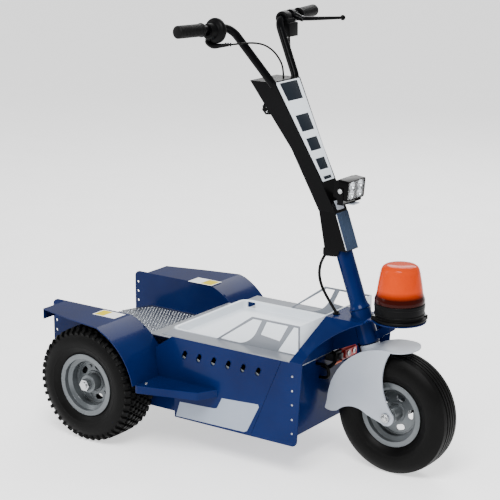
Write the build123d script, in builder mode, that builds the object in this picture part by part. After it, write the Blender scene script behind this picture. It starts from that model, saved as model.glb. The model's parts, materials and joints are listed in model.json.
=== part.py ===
from build123d import *
from math import cos, radians, sin, sqrt, tan
import os

# Electric tow tug: a three-wheeled platform truck with a raked, fork-mounted front wheel.
# +X points forward, +Y to the driver's left and +Z up, in millimetres.
# The origin lies on the floor under the middle of the overall length.

# Running gear
WHEELBASE = 821
REAR_TYRE_RADIUS = 165
FRONT_TYRE_RADIUS = 165
REAR_TYRE_WIDTH = 125
FRONT_TYRE_WIDTH = 94
REAR_TRACK = 536
RIM_FLANGE_RADIUS = 89
BEAD_RADIUS = 77
REAR_RIM_WIDTH = 104
FRONT_RIM_WIDTH = 66
REAR_SHAFT_RADIUS = 10
FRONT_AXLE_RADIUS = 8
AXLE_TUBE_RADIUS = 25

# Sheet metal and fits
SHEET = 3
PLATE = 5
FIT = 0.3

# Chassis, lengths measured forward from the rear axle
HITCH_REACH = 290
PLATE_REAR = -228
DECK_REAR = -200
RISER_AT = 130
PANEL_SETBACK = 12
BODY_REAR = 245
TRAY_REAR = 201
BULKHEAD_AT = 600
NOSE_WALL_AT = 627
PANEL_FRONT = 666
PANEL_FRONT_LOW = 650
ARCH_HEAD = 743
SHELF_AT = 822

# Chassis, half widths and heights
BODY_HALF = 228
PLATE_HALF = 191
BODY_BOTTOM = 96
BODY_TOP = 328
BOX_TOP = 306
DECK_TOP = 248
FENDER_TOP = 349
FENDER_ARC_RADIUS = 194
FENDER_HALF_REAR = 285
FENDER_HALF_FRONT = 341
STEP_TOP = 205
STEP_DEPTH = 22
TRAY_DEPTH = 27
TRAY_HALF = 171
GUARD_HALF = 182
GUARD_TOP = 414
HOOD_TOP = 411
HOOD_HALF = 55
SHELF_TOP = 423
SHELF_RADIUS = 72

# Steering head: the axis leans back by RAKE and passes HEAD_AT, HEAD_Z
RAKE = 19.5
HEAD_AT = 711
HEAD_Z = 402
HEAD_TUBE_RADIUS = 28
HEAD_TUBE_LOW = -62
HEAD_TUBE_HIGH = 30
STEM_RADIUS = 20
COLUMN_TUBE_RADIUS = 23
COLUMN_TUBE_HIGH = 240

# Fork
FORK_INNER_HALF = 54
FORK_PLATE = 5
FORK_SHEET = 4
FORK_ARC_RADIUS = 185
FORK_NOSE = 59
FORK_BOSS_RADIUS = 27

# Column and handlebar
COLUMN_LEAN = 27.7
PANEL_TOP_AT = 459
PANEL_TOP_Z = 1030
BAR_RADIUS = 11
GRIP_RADIUS = 17
GRIP_LENGTH = 93

# Places that follow from the driving dimensions
REAR_X = (HITCH_REACH - WHEELBASE - FRONT_TYRE_RADIUS) / 2
FRONT_X = REAR_X + WHEELBASE
REAR_Z = REAR_TYRE_RADIUS
FRONT_Z = FRONT_TYRE_RADIUS
REAR_WHEEL_Y = REAR_TRACK / 2
PANEL_REAR = FENDER_ARC_RADIUS - PANEL_SETBACK
TRAY_RIM = BOX_TOP + TRAY_DEPTH


def from_axle(x, z):
    """A side-view point, its length counted forward from the rear axle."""
    return (REAR_X + x, z)


def on_arc(radius, degrees_up, centre=(REAR_X, REAR_Z)):
    """A side-view point on a circle, its angle counted up from straight ahead."""
    angle = radians(degrees_up)
    return (centre[0] + radius * cos(angle), centre[1] + radius * sin(angle))


def side_plane(y):
    """An upright plane along the vehicle, drawn in X and Z, that extrudes to the right."""
    return Plane(origin=(0, y, 0), x_dir=(1, 0, 0), z_dir=(0, -1, 0))


def cross_plane(x):
    """An upright plane across the vehicle, drawn in Y and Z, that extrudes forward."""
    return Plane(origin=(REAR_X + x, 0, 0), x_dir=(0, 1, 0), z_dir=(1, 0, 0))


def steer_plane(up):
    """A plane square to the steering axis, at a distance up the axis from the head."""
    lean = radians(RAKE)
    return Plane(
        origin=(REAR_X + HEAD_AT - up * sin(lean), 0, HEAD_Z + up * cos(lean)),
        x_dir=(cos(lean), 0, sin(lean)),
        z_dir=(-sin(lean), 0, cos(lean)),
    )


def column_face(z):
    """How far ahead the front face of the column lies at a height."""
    return REAR_X + PANEL_TOP_AT + (PANEL_TOP_Z - z) * tan(radians(COLUMN_LEAN))


def axle_plane(y, x=REAR_X, z=REAR_Z):
    """An upright plane centred on an axle, that extrudes to the right."""
    return Plane(origin=(x, y, z), x_dir=(1, 0, 0), z_dir=(0, -1, 0))


def rod_plane(start, end):
    """A plane square to a straight rod, at its start."""
    return Plane(origin=start, z_dir=Vector(*end) - Vector(*start))


def rod_length(start, end):
    """The length of a straight rod."""
    return (Vector(*end) - Vector(*start)).length


# Side panels, with a row of slanted vents, and the nose side plates ahead of the seam
SEAM_TOP = 601
SEAM_BOTTOM = 501
SEAM_GAP = 1
PANEL_BEVEL = (57, 41)
NOSE_CORNER = 16
VENT_COUNT = 6
VENT_FIRST = 282
VENT_PITCH = 49
VENT_Z = 283
VENT_LENGTH = 26
VENT_WIDTH = 13
VENT_LEAN = 25

PANEL_TUCK = 2

with BuildPart() as side_panel_right:
    neck_z = REAR_Z + sqrt(FENDER_ARC_RADIUS**2 - (PANEL_REAR - PANEL_TUCK) ** 2)
    with BuildSketch(side_plane(-(BODY_HALF - SHEET))):
        with BuildLine():
            Polyline(
                from_axle(BODY_REAR, BODY_BOTTOM),
                from_axle(SEAM_BOTTOM, BODY_BOTTOM),
                from_axle(SEAM_TOP, BODY_TOP),
                from_axle(PANEL_REAR + PANEL_BEVEL[0], BODY_TOP),
                from_axle(PANEL_REAR, BODY_TOP - PANEL_BEVEL[1]),
                from_axle(PANEL_REAR, neck_z),
                from_axle(FENDER_ARC_RADIUS - PANEL_TUCK, STEP_TOP + PANEL_TUCK),
                from_axle(FENDER_ARC_RADIUS - PANEL_TUCK, STEP_TOP - STEP_DEPTH),
                from_axle(BODY_REAR, STEP_TOP - STEP_DEPTH),
                close=True,
            )
        make_face()
        with Locations(*[(REAR_X + VENT_FIRST + VENT_PITCH * i, VENT_Z) for i in range(VENT_COUNT)]):
            SlotOverall(VENT_LENGTH, VENT_WIDTH, rotation=90 - VENT_LEAN, mode=Mode.SUBTRACT)
    extrude(amount=SHEET)

with BuildPart() as nose_side_right:
    with BuildSketch(side_plane(-(BODY_HALF - SHEET))):
        with BuildLine():
            Polyline(
                from_axle(SEAM_BOTTOM + SEAM_GAP, BODY_BOTTOM),
                from_axle(PANEL_FRONT_LOW, BODY_BOTTOM),
                from_axle(PANEL_FRONT, BODY_TOP),
                from_axle(SEAM_TOP + SEAM_GAP, BODY_TOP),
                close=True,
            )
        make_face()
        fillet(vertices().group_by(Axis.Y)[0].sort_by(Axis.X)[-1], NOSE_CORNER)
    extrude(amount=SHEET)

# Inner plates beside the rear wheels, with the row of hitch holes near their rear edge
HOLE_RADIUS = 4.5
HOLE_COUNT = 7
HOLE_PITCH = 29.5
HOLE_TOP_Z = 315
HOLE_INSET = 10
PLATE_STEP_Z = 281
PLATE_CORNER = 16
PLATE_TAPER = 40
FENDER_KINK = sqrt(FENDER_ARC_RADIUS**2 - (FENDER_TOP - REAR_Z) ** 2)

with BuildPart() as wheel_plate_right:
    plate_foot = sqrt(FENDER_ARC_RADIUS**2 - (PLATE_STEP_Z - REAR_Z) ** 2)
    with BuildSketch(side_plane(-(PLATE_HALF - PLATE))):
        with BuildLine():
            Polyline(
                from_axle(plate_foot, PLATE_STEP_Z),
                from_axle(BODY_REAR, PLATE_STEP_Z),
                from_axle(BODY_REAR, BODY_BOTTOM),
                from_axle(PLATE_REAR + PLATE_TAPER, BODY_BOTTOM),
                from_axle(PLATE_REAR, BODY_BOTTOM + PLATE_TAPER / 2),
                from_axle(PLATE_REAR, FENDER_TOP),
                from_axle(FENDER_KINK, FENDER_TOP),
            )
            ThreePointArc(
                from_axle(FENDER_KINK, FENDER_TOP),
                on_arc(FENDER_ARC_RADIUS, 52),
                from_axle(plate_foot, PLATE_STEP_Z),
            )
        make_face()
        fillet(vertices().group_by(Axis.Y)[-1].sort_by(Axis.X)[0], PLATE_CORNER)
        with Locations(
            *[(REAR_X + PLATE_REAR + HOLE_INSET, HOLE_TOP_Z - HOLE_PITCH * i) for i in range(HOLE_COUNT)]
        ):
            Circle(HOLE_RADIUS, mode=Mode.SUBTRACT)
        with Locations((REAR_X, REAR_Z)):
            Circle(AXLE_TUBE_RADIUS + FIT, mode=Mode.SUBTRACT)
    extrude(amount=PLATE)

# Fenders: flat on top, then an arc round the tyre down to the step, with a lip at the rear
FENDER_REAR = -182
FENDER_LIP = 30

with BuildPart() as fender_right:
    inner_radius = FENDER_ARC_RADIUS - SHEET
    kink_inner = sqrt(inner_radius**2 - (FENDER_TOP - SHEET - REAR_Z) ** 2)
    foot_outer = sqrt(FENDER_ARC_RADIUS**2 - (STEP_TOP - REAR_Z) ** 2)
    foot_inner = sqrt(inner_radius**2 - (STEP_TOP - REAR_Z) ** 2)
    with BuildSketch(side_plane(-PLATE_HALF)):
        with BuildLine():
            Polyline(
                from_axle(FENDER_KINK, FENDER_TOP),
                from_axle(FENDER_REAR, FENDER_TOP),
                from_axle(FENDER_REAR, FENDER_TOP - FENDER_LIP),
                from_axle(FENDER_REAR + SHEET, FENDER_TOP - FENDER_LIP),
                from_axle(FENDER_REAR + SHEET, FENDER_TOP - SHEET),
                from_axle(kink_inner, FENDER_TOP - SHEET),
            )
            ThreePointArc(
                from_axle(kink_inner, FENDER_TOP - SHEET),
                on_arc(inner_radius, 40),
                from_axle(foot_inner, STEP_TOP),
            )
            Line(from_axle(foot_inner, STEP_TOP), from_axle(foot_outer, STEP_TOP))
            ThreePointArc(
                from_axle(foot_outer, STEP_TOP),
                on_arc(FENDER_ARC_RADIUS, 40),
                from_axle(FENDER_KINK, FENDER_TOP),
            )
        make_face()
    extrude(amount=FENDER_HALF_FRONT - PLATE_HALF)
    with BuildSketch(Plane.XY):
        with BuildLine():
            Polyline(
                (REAR_X + FENDER_REAR, -PLATE_HALF),
                (REAR_X + FENDER_REAR, -FENDER_HALF_REAR),
                (REAR_X - 50, -(FENDER_HALF_FRONT - 24)),
                (REAR_X + 80, -FENDER_HALF_FRONT),
                (REAR_X + FENDER_ARC_RADIUS, -FENDER_HALF_FRONT),
                (REAR_X + FENDER_ARC_RADIUS, -PLATE_HALF),
                close=True,
            )
        make_face()
    extrude(amount=FENDER_TOP + 1, mode=Mode.INTERSECT)

# Side steps: sheet turned down along the outer edges
STEP_REAR_HALF = 333
STEP_FRONT = 363
STEP_FRONT_HALF = 281
STEP_NOSE = 392
STEP_CORNER = 12

with BuildPart() as step_right:
    with BuildSketch(Plane.XY.offset(STEP_TOP - STEP_DEPTH)):
        with BuildLine():
            Polyline(
                (REAR_X + PANEL_REAR, -BODY_HALF),
                (REAR_X + PANEL_REAR, -STEP_REAR_HALF),
                (REAR_X + STEP_FRONT, -STEP_FRONT_HALF),
                (REAR_X + STEP_NOSE, -BODY_HALF),
                close=True,
            )
        make_face()
        fillet(vertices().sort_by(Axis.Y)[:2], STEP_CORNER)
    extrude(amount=STEP_DEPTH)
    offset(amount=-SHEET, openings=faces().sort_by(Axis.Z)[0])

# Deck, riser, box top, rear wall, belly pan and bulkhead
DECK_CORNER = (32, 86)
DECK_FLANGE = 25
DECK_HALF = PLATE_HALF - PLATE
BODY_INNER_HALF = BODY_HALF - SHEET

with BuildPart() as deck:
    with BuildSketch(Plane.XY.offset(DECK_TOP - SHEET)):
        with BuildLine():
            Polyline(
                (REAR_X + DECK_REAR + DECK_CORNER[0], DECK_HALF),
                (REAR_X + RISER_AT - SHEET, DECK_HALF),
                (REAR_X + RISER_AT - SHEET, -DECK_HALF),
                (REAR_X + DECK_REAR + DECK_CORNER[0], -DECK_HALF),
                (REAR_X + DECK_REAR, DECK_CORNER[1] - DECK_HALF),
                (REAR_X + DECK_REAR, DECK_HALF - DECK_CORNER[1]),
                close=True,
            )
        make_face()
    extrude(amount=SHEET)
    with BuildSketch(Plane.XY.offset(DECK_TOP - DECK_FLANGE)):
        with Locations((REAR_X + DECK_REAR + SHEET / 2, 0)):
            Rectangle(SHEET, 2 * (DECK_HALF - DECK_CORNER[1]))
    extrude(amount=DECK_FLANGE - SHEET)

with BuildPart() as body_top:
    shoulder = TRAY_REAR + 6
    with BuildSketch(Plane.XY.offset(DECK_TOP - SHEET)):
        with Locations((REAR_X + RISER_AT - SHEET / 2, 0)):
            Rectangle(SHEET, 2 * DECK_HALF)
    extrude(amount=BOX_TOP - DECK_TOP + SHEET)
    front = NOSE_WALL_AT + SHEET
    with BuildSketch(Plane.XY.offset(BOX_TOP - SHEET)):
        with Locations((REAR_X + (RISER_AT + shoulder) / 2, 0)):
            Rectangle(shoulder - RISER_AT, 2 * DECK_HALF)
        with Locations((REAR_X + (shoulder + front) / 2, 0)):
            Rectangle(front - shoulder, 2 * BODY_INNER_HALF)
    extrude(amount=SHEET)

with BuildPart() as rear_wall:
    with BuildSketch(Plane.XY.offset(BODY_BOTTOM)):
        with Locations((REAR_X + BODY_REAR + SHEET / 2, 0)):
            Rectangle(SHEET, 2 * BODY_INNER_HALF)
    extrude(amount=BOX_TOP - SHEET - BODY_BOTTOM)

with BuildPart() as belly_pan:
    with BuildSketch(Plane.XY.offset(BODY_BOTTOM)):
        with Locations((REAR_X + (BODY_REAR + SHEET + BULKHEAD_AT) / 2, 0)):
            Rectangle(BULKHEAD_AT - BODY_REAR - SHEET, 2 * BODY_INNER_HALF)
    extrude(amount=SHEET)

with BuildPart() as bulkhead:
    with BuildSketch(Plane.XY.offset(BODY_BOTTOM)):
        with Locations((REAR_X + BULKHEAD_AT + SHEET / 2, 0)):
            Rectangle(SHEET, 2 * BODY_INNER_HALF)
    extrude(amount=BOX_TOP - SHEET - BODY_BOTTOM)

# Battery, closed in under the tray: one plain block
BATTERY_HALF = 150
BATTERY_MARGIN = 30
BATTERY_TOP = 292

with BuildPart() as battery_block:
    with BuildSketch(Plane.XY.offset(BODY_BOTTOM + SHEET)):
        with Locations((REAR_X + (BODY_REAR + BULKHEAD_AT) / 2, 0)):
            Rectangle(BULKHEAD_AT - BODY_REAR - 2 * BATTERY_MARGIN, 2 * BATTERY_HALF)
    extrude(amount=BATTERY_TOP - BODY_BOTTOM - SHEET)


def roof_profile(lift):
    """The section under the nose roofs, as seen along the vehicle, raised by lift."""
    return [
        (-BODY_HALF, BOX_TOP),
        (-BODY_HALF, BODY_TOP + lift),
        (-HOOD_HALF, HOOD_TOP - SHEET + lift),
        (HOOD_HALF, HOOD_TOP - SHEET + lift),
        (BODY_HALF, BODY_TOP + lift),
        (BODY_HALF, BOX_TOP),
    ]


# Nose wall: closes the space between the box top and the roofs
with BuildPart() as nose_wall:
    with BuildSketch(cross_plane(NOSE_WALL_AT)):
        with BuildLine():
            Polyline(*roof_profile(0), close=True)
        make_face()
        with Locations((-BODY_HALF, BODY_TOP), (BODY_HALF, BODY_TOP)):
            Rectangle(2 * SHEET, 4 * (BODY_TOP - BOX_TOP), mode=Mode.SUBTRACT)
    extrude(amount=SHEET)

# Hood: two sloping roofs cut by the wheel arch, a flat top, and a raised round shelf
ARCH_SIDE = 664
ARCH_STRAIGHT = 190
ARCH_MIDDLE = (686, 118)
SHELF_NECK_HALF = 50
JOGGLE = 12

with BuildPart() as roof_sheet:
    with BuildSketch(cross_plane(NOSE_WALL_AT)):
        with BuildLine():
            Polyline(*roof_profile(SHEET), close=True)
        make_face()
        with BuildLine():
            Polyline(*roof_profile(0), close=True)
        make_face(mode=Mode.SUBTRACT)
    extrude(amount=ARCH_HEAD - NOSE_WALL_AT)
    with BuildSketch(Plane.XY):
        with BuildLine():
            right_arch = ThreePointArc(
                (REAR_X + ARCH_SIDE, -ARCH_STRAIGHT),
                (REAR_X + ARCH_MIDDLE[0], -ARCH_MIDDLE[1]),
                (REAR_X + ARCH_HEAD, -HOOD_HALF),
            )
            left_arch = ThreePointArc(
                (REAR_X + ARCH_HEAD, HOOD_HALF),
                (REAR_X + ARCH_MIDDLE[0], ARCH_MIDDLE[1]),
                (REAR_X + ARCH_SIDE, ARCH_STRAIGHT),
            )
            Line(right_arch @ 1, left_arch @ 0)
            Polyline(
                left_arch @ 1,
                (REAR_X + PANEL_FRONT, BODY_HALF),
                (REAR_X + NOSE_WALL_AT, BODY_HALF),
                (REAR_X + NOSE_WALL_AT, -BODY_HALF),
                (REAR_X + PANEL_FRONT, -BODY_HALF),
                right_arch @ 0,
            )
        make_face()
    extrude(amount=HOOD_TOP + 1, mode=Mode.INTERSECT)

with BuildPart() as shelf_sheet:
    with BuildSketch(side_plane(SHELF_RADIUS)):
        with BuildLine():
            Polyline(
                from_axle(ARCH_HEAD - 2 * JOGGLE, HOOD_TOP - SHEET),
                from_axle(ARCH_HEAD, HOOD_TOP - SHEET),
                from_axle(ARCH_HEAD + JOGGLE, SHELF_TOP - SHEET),
                from_axle(SHELF_AT + SHELF_RADIUS, SHELF_TOP - SHEET),
                from_axle(SHELF_AT + SHELF_RADIUS, SHELF_TOP),
                from_axle(ARCH_HEAD + JOGGLE - SHEET, SHELF_TOP),
                from_axle(ARCH_HEAD - SHEET, HOOD_TOP),
                from_axle(ARCH_HEAD - 2 * JOGGLE, HOOD_TOP),
                close=True,
            )
        make_face()
    extrude(amount=2 * SHELF_RADIUS)
    with BuildSketch(Plane.XY):
        with Locations((REAR_X + (ARCH_HEAD + SHELF_AT) / 2 - JOGGLE, 0)):
            Rectangle(SHELF_AT - ARCH_HEAD + 2 * JOGGLE, 2 * SHELF_NECK_HALF)
        with Locations((REAR_X + SHELF_AT, 0)):
            Circle(SHELF_RADIUS)
    extrude(amount=SHELF_TOP + 1, mode=Mode.INTERSECT)

with BuildPart() as hood:
    add(roof_sheet.part)
    add(shelf_sheet.part)
    with BuildSketch(steer_plane(HEAD_TUBE_LOW)):
        Circle(HEAD_TUBE_RADIUS + FIT)
    extrude(amount=HEAD_TUBE_HIGH - HEAD_TUBE_LOW, mode=Mode.SUBTRACT)

# Head frame: the head tube, two bracket plates behind it and the gusset under the shelf
BRACKET_HALF = 20
BRACKET_LOW = (729, 350)
GUSSET_UNDER = ((738, 356), (764, 360), (808, 391))
GUSSET_HIGH_REAR = 779
GUSSET_OVER = ((776, 396), (748, 376), (738, 376))

with BuildPart() as head_frame:
    with BuildSketch(steer_plane(HEAD_TUBE_LOW)):
        Circle(HEAD_TUBE_RADIUS)
    extrude(amount=HEAD_TUBE_HIGH - HEAD_TUBE_LOW)
    for bracket_y in (PLATE - BRACKET_HALF, BRACKET_HALF):
        with BuildSketch(side_plane(bracket_y)):
            with BuildLine():
                Polyline(
                    from_axle(NOSE_WALL_AT + SHEET, BOX_TOP),
                    from_axle(NOSE_WALL_AT + SHEET, HOOD_TOP - SHEET),
                    from_axle(HEAD_AT, HOOD_TOP - SHEET),
                    from_axle(*BRACKET_LOW),
                    close=True,
                )
            make_face()
        extrude(amount=PLATE)
    with BuildSketch(side_plane(PLATE / 2)):
        with BuildLine():
            Polyline(
                *[from_axle(*point) for point in GUSSET_UNDER],
                from_axle(SHELF_AT, SHELF_TOP - SHEET),
                from_axle(GUSSET_HIGH_REAR, SHELF_TOP - SHEET),
                *[from_axle(*point) for point in GUSSET_OVER],
                close=True,
            )
        make_face()
    extrude(amount=PLATE)
    with BuildSketch(steer_plane(HEAD_TUBE_LOW)):
        Circle(STEM_RADIUS + FIT)
    extrude(amount=HEAD_TUBE_HIGH - HEAD_TUBE_LOW, mode=Mode.SUBTRACT)

# Load tray: a shallow tub with a turned-out rim and a tall front wall
RIM_FLANGE = 7
NOTCH_LENGTH = 26

with BuildPart() as tray:
    tray_length = NOSE_WALL_AT - TRAY_REAR
    tray_middle = (REAR_X + TRAY_REAR + tray_length / 2, 0)
    with BuildSketch(Plane.XY.offset(BOX_TOP)):
        with Locations(tray_middle):
            Rectangle(tray_length, 2 * TRAY_HALF)
    extrude(amount=TRAY_RIM - BOX_TOP)
    offset(amount=-SHEET, openings=faces().sort_by(Axis.Z)[-1])
    with BuildSketch(Plane.XY.offset(TRAY_RIM - SHEET)):
        with Locations((tray_middle[0] - RIM_FLANGE / 2, 0)):
            Rectangle(tray_length + RIM_FLANGE, 2 * (TRAY_HALF + RIM_FLANGE))
        with Locations(tray_middle):
            Rectangle(tray_length, 2 * TRAY_HALF, mode=Mode.SUBTRACT)
    extrude(amount=SHEET)
    with BuildSketch(Plane.XY.offset(BOX_TOP + SHEET)):
        with Locations(
            (REAR_X + TRAY_REAR + NOTCH_LENGTH, -TRAY_HALF + SHEET / 2),
            (REAR_X + TRAY_REAR + NOTCH_LENGTH, TRAY_HALF - SHEET / 2),
        ):
            Rectangle(NOTCH_LENGTH, SHEET)
    extrude(amount=TRAY_RIM - BOX_TOP - 3 * SHEET, mode=Mode.SUBTRACT)
    with BuildSketch(cross_plane(NOSE_WALL_AT - SHEET)):
        with Locations((0, (BOX_TOP + GUARD_TOP) / 2)):
            Rectangle(2 * (GUARD_HALF - SHEET), GUARD_TOP - BOX_TOP)
    extrude(amount=SHEET)

# Tray guards: a flange along the body top and an upright web with three windows
GUARD_FLANGE_REAR = 205
GUARD_WEB_REAR = 352
GUARD_WEB_HIGH = 474
GUARD_TOP_BAND = 5
GUARD_LOW_BAND = 3
REAR_WINDOW_LOW = (435, 368)
REAR_WINDOW_HIGH = (479, 507)
REAR_WINDOW_BEND = ((488, 372), (466, 348))
MIDDLE_WINDOW_LOW = ((564, 362), (502, 369))
MIDDLE_WINDOW_HIGH = (522, 591)
FRONT_WINDOW_REAR = (558, 609)
FRONT_WINDOW_END = 623

with BuildPart() as guard_right:
    web_inner = GUARD_HALF - SHEET
    window_top = GUARD_TOP - GUARD_TOP_BAND
    window_low = BODY_TOP + SHEET + GUARD_LOW_BAND
    with BuildSketch(side_plane(-web_inner)):
        with BuildLine():
            Polyline(
                from_axle(GUARD_WEB_REAR, BODY_TOP),
                from_axle(GUARD_WEB_HIGH, GUARD_TOP),
                from_axle(NOSE_WALL_AT, GUARD_TOP),
                from_axle(NOSE_WALL_AT, BODY_TOP),
                close=True,
            )
        make_face()
        with BuildLine():
            Polyline(
                *[from_axle(x, window_low) for x in REAR_WINDOW_LOW],
                *[from_axle(x, window_top) for x in REAR_WINDOW_HIGH],
                from_axle(*REAR_WINDOW_BEND[0]),
            )
            ThreePointArc(
                *[from_axle(*point) for point in REAR_WINDOW_BEND],
                from_axle(REAR_WINDOW_LOW[0], window_low),
            )
        make_face(mode=Mode.SUBTRACT)
        with BuildLine():
            Polyline(
                *[from_axle(*point) for point in MIDDLE_WINDOW_LOW],
                *[from_axle(x, window_top) for x in MIDDLE_WINDOW_HIGH],
                close=True,
            )
        make_face(mode=Mode.SUBTRACT)
        with BuildLine():
            Polyline(
                from_axle(FRONT_WINDOW_REAR[0], window_low),
                from_axle(FRONT_WINDOW_REAR[1], window_top),
                from_axle(FRONT_WINDOW_END, window_top),
                from_axle(FRONT_WINDOW_END, window_low),
                close=True,
            )
        make_face(mode=Mode.SUBTRACT)
    extrude(amount=SHEET)
    with BuildSketch(Plane.XY.offset(BODY_TOP)):
        with Locations((REAR_X + (GUARD_FLANGE_REAR + NOSE_WALL_AT) / 2, -(web_inner + BODY_HALF) / 2)):
            Rectangle(NOSE_WALL_AT - GUARD_FLANGE_REAR, BODY_HALF - web_inner)
    extrude(amount=SHEET)

# Beacon: a flanged base with two ears and a ring, and a hollow tapered lens
BEACON_FLANGE_RADIUS = 66
BEACON_FLANGE_HEIGHT = 10
BEACON_RING_RADIUS = 64
BEACON_RING_HEIGHT = 15
BEACON_EAR_RADIUS = 9
BEACON_EAR_AT = 62
LENS_RADIUS = 68
LENS_TOP_RADIUS = 44
LENS_HEIGHT = 126
LENS_WALL = 3

with BuildPart() as beacon_base:
    with BuildSketch(Plane.XY.offset(SHELF_TOP)):
        with Locations((REAR_X + SHELF_AT, 0)):
            Circle(BEACON_FLANGE_RADIUS)
        with Locations((REAR_X + SHELF_AT, -BEACON_EAR_AT), (REAR_X + SHELF_AT, BEACON_EAR_AT)):
            Circle(BEACON_EAR_RADIUS)
    extrude(amount=BEACON_FLANGE_HEIGHT)
    with BuildSketch(Plane.XY.offset(SHELF_TOP + BEACON_FLANGE_HEIGHT)):
        with Locations((REAR_X + SHELF_AT, 0)):
            Circle(BEACON_RING_RADIUS)
    extrude(amount=BEACON_RING_HEIGHT)

with BuildPart() as beacon_lens:
    lens_foot = SHELF_TOP + BEACON_FLANGE_HEIGHT + BEACON_RING_HEIGHT
    with BuildSketch(cross_plane(SHELF_AT)):
        with BuildLine():
            lens_wall = Polyline(
                (BEACON_RING_RADIUS - 1, lens_foot),
                (LENS_RADIUS, lens_foot + 16),
                (LENS_TOP_RADIUS + 4, lens_foot + LENS_HEIGHT - 10),
                (LENS_TOP_RADIUS - 6, lens_foot + LENS_HEIGHT),
                (0, lens_foot + LENS_HEIGHT),
            )
            Polyline(
                lens_wall @ 1,
                (0, lens_foot + LENS_HEIGHT - LENS_WALL),
                (LENS_TOP_RADIUS - 7, lens_foot + LENS_HEIGHT - LENS_WALL),
                (LENS_TOP_RADIUS, lens_foot + LENS_HEIGHT - 11),
                (LENS_RADIUS - LENS_WALL, lens_foot + 16),
                (BEACON_RING_RADIUS - 1 - LENS_WALL, lens_foot),
                lens_wall @ 0,
            )
        make_face()
    revolve(axis=Axis((REAR_X + SHELF_AT, 0, 0), (0, 0, 1)))

# Tow hitch: a bracket bolted between the inner plates, with a forked jaw at the rear
HITCH_LOW_HOLE = 5
HITCH_MARGIN = 20
HITCH_WALL_INSET = 22
HITCH_WALL = 8
CHEEK_LENGTH = 70
CHEEK = 6
BOLT_HEAD_RADIUS = 7.5
BOLT_HEAD = 5
JAW_GAP = 46
JAW_PLATE = 10
JAW_HALF = 35
JAW_BORE = 10.5
JAW_BORE_INSET = 34

with BuildPart() as tow_hitch:
    hitch_holes = [HOLE_TOP_Z - HOLE_PITCH * i for i in (HITCH_LOW_HOLE - 1, HITCH_LOW_HOLE)]
    hitch_low = hitch_holes[1] - HITCH_MARGIN
    hitch_high = hitch_holes[0] + HITCH_MARGIN
    hitch_middle = (hitch_high + hitch_low) / 2
    bracket_rear = REAR_X + PLATE_REAR
    with BuildSketch(Plane.XY.offset(hitch_low)):
        with Locations((bracket_rear + HITCH_WALL_INSET + HITCH_WALL / 2, 0)):
            Rectangle(HITCH_WALL, 2 * DECK_HALF)
        with Locations(
            (bracket_rear + CHEEK_LENGTH / 2, DECK_HALF - CHEEK / 2),
            (bracket_rear + CHEEK_LENGTH / 2, CHEEK / 2 - DECK_HALF),
        ):
            Rectangle(CHEEK_LENGTH, CHEEK)
    extrude(amount=hitch_high - hitch_low)
    for bolt_z in hitch_holes:
        for bolt_y in (DECK_HALF + PLATE, -DECK_HALF + CHEEK / 2):
            with BuildSketch(axle_plane(bolt_y, bracket_rear + HOLE_INSET, bolt_z)):
                Circle(HOLE_RADIUS - FIT)
            extrude(amount=PLATE + CHEEK / 2)
        for head_y in (PLATE_HALF + BOLT_HEAD, -PLATE_HALF):
            with BuildSketch(axle_plane(head_y, bracket_rear + HOLE_INSET, bolt_z)):
                RegularPolygon(BOLT_HEAD_RADIUS, 6)
            extrude(amount=BOLT_HEAD)
    for jaw_z in (hitch_middle - JAW_GAP / 2 - JAW_PLATE, hitch_middle + JAW_GAP / 2):
        with BuildSketch(Plane.XY.offset(jaw_z)):
            with Locations((REAR_X - HITCH_REACH + JAW_HALF, 0)):
                Circle(JAW_HALF)
            with Locations((REAR_X + (PLATE_REAR + HITCH_WALL_INSET - HITCH_REACH + JAW_HALF) / 2, 0)):
                Rectangle(HITCH_REACH + PLATE_REAR + HITCH_WALL_INSET - JAW_HALF, 2 * JAW_HALF)
            with Locations((REAR_X - HITCH_REACH + JAW_BORE_INSET, 0)):
                Circle(JAW_BORE, mode=Mode.SUBTRACT)
        extrude(amount=JAW_PLATE)

# Rear axle tube with its shafts and nuts, and the drive unit that hangs on it
HUB_HALF = 42
NUT_ACROSS = 30
NUT_HEIGHT = 14
SHAFT_END = REAR_WHEEL_Y + HUB_HALF + NUT_HEIGHT + 5
AXLE_TUBE_HALF = PLATE_HALF + 8
GEARBOX = (150, 110, 110)
MOTOR_RADIUS = 48
MOTOR_LENGTH = 130

with BuildPart() as rear_axle:
    with BuildSketch(axle_plane(SHAFT_END)):
        Circle(REAR_SHAFT_RADIUS)
    extrude(amount=2 * SHAFT_END)
    with BuildSketch(axle_plane(AXLE_TUBE_HALF)):
        Circle(AXLE_TUBE_RADIUS)
    extrude(amount=2 * AXLE_TUBE_HALF)
    for nut_y in (-(REAR_WHEEL_Y + HUB_HALF + 1), REAR_WHEEL_Y + HUB_HALF + 1 + NUT_HEIGHT):
        with BuildSketch(axle_plane(nut_y)):
            RegularPolygon(NUT_ACROSS / 2, 6, major_radius=False)
        extrude(amount=NUT_HEIGHT)

with BuildPart() as drive_unit:
    with BuildSketch(Plane.XY.offset(REAR_Z - GEARBOX[2] / 2)):
        with Locations((REAR_X, 0)):
            Rectangle(GEARBOX[0], GEARBOX[1])
        fillet(vertices(), 14)
    extrude(amount=GEARBOX[2])
    with BuildSketch(cross_plane(GEARBOX[0] / 2)):
        with Locations((0, REAR_Z)):
            Circle(MOTOR_RADIUS)
    extrude(amount=MOTOR_LENGTH)
    with BuildSketch(side_plane(GEARBOX[1])):
        with Locations((REAR_X, REAR_Z)):
            Circle(AXLE_TUBE_RADIUS + FIT)
    extrude(amount=2 * GEARBOX[1], mode=Mode.SUBTRACT)

# Power connector on the bulkhead, with a stepped front for the plug
CONNECTOR_AT = (56, 284)
CONNECTOR_SIZE = (72, 34)
CONNECTOR_DEPTH = 38
PLUG_FACE = (58, 22)
PLUG_STEP = 8

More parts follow.
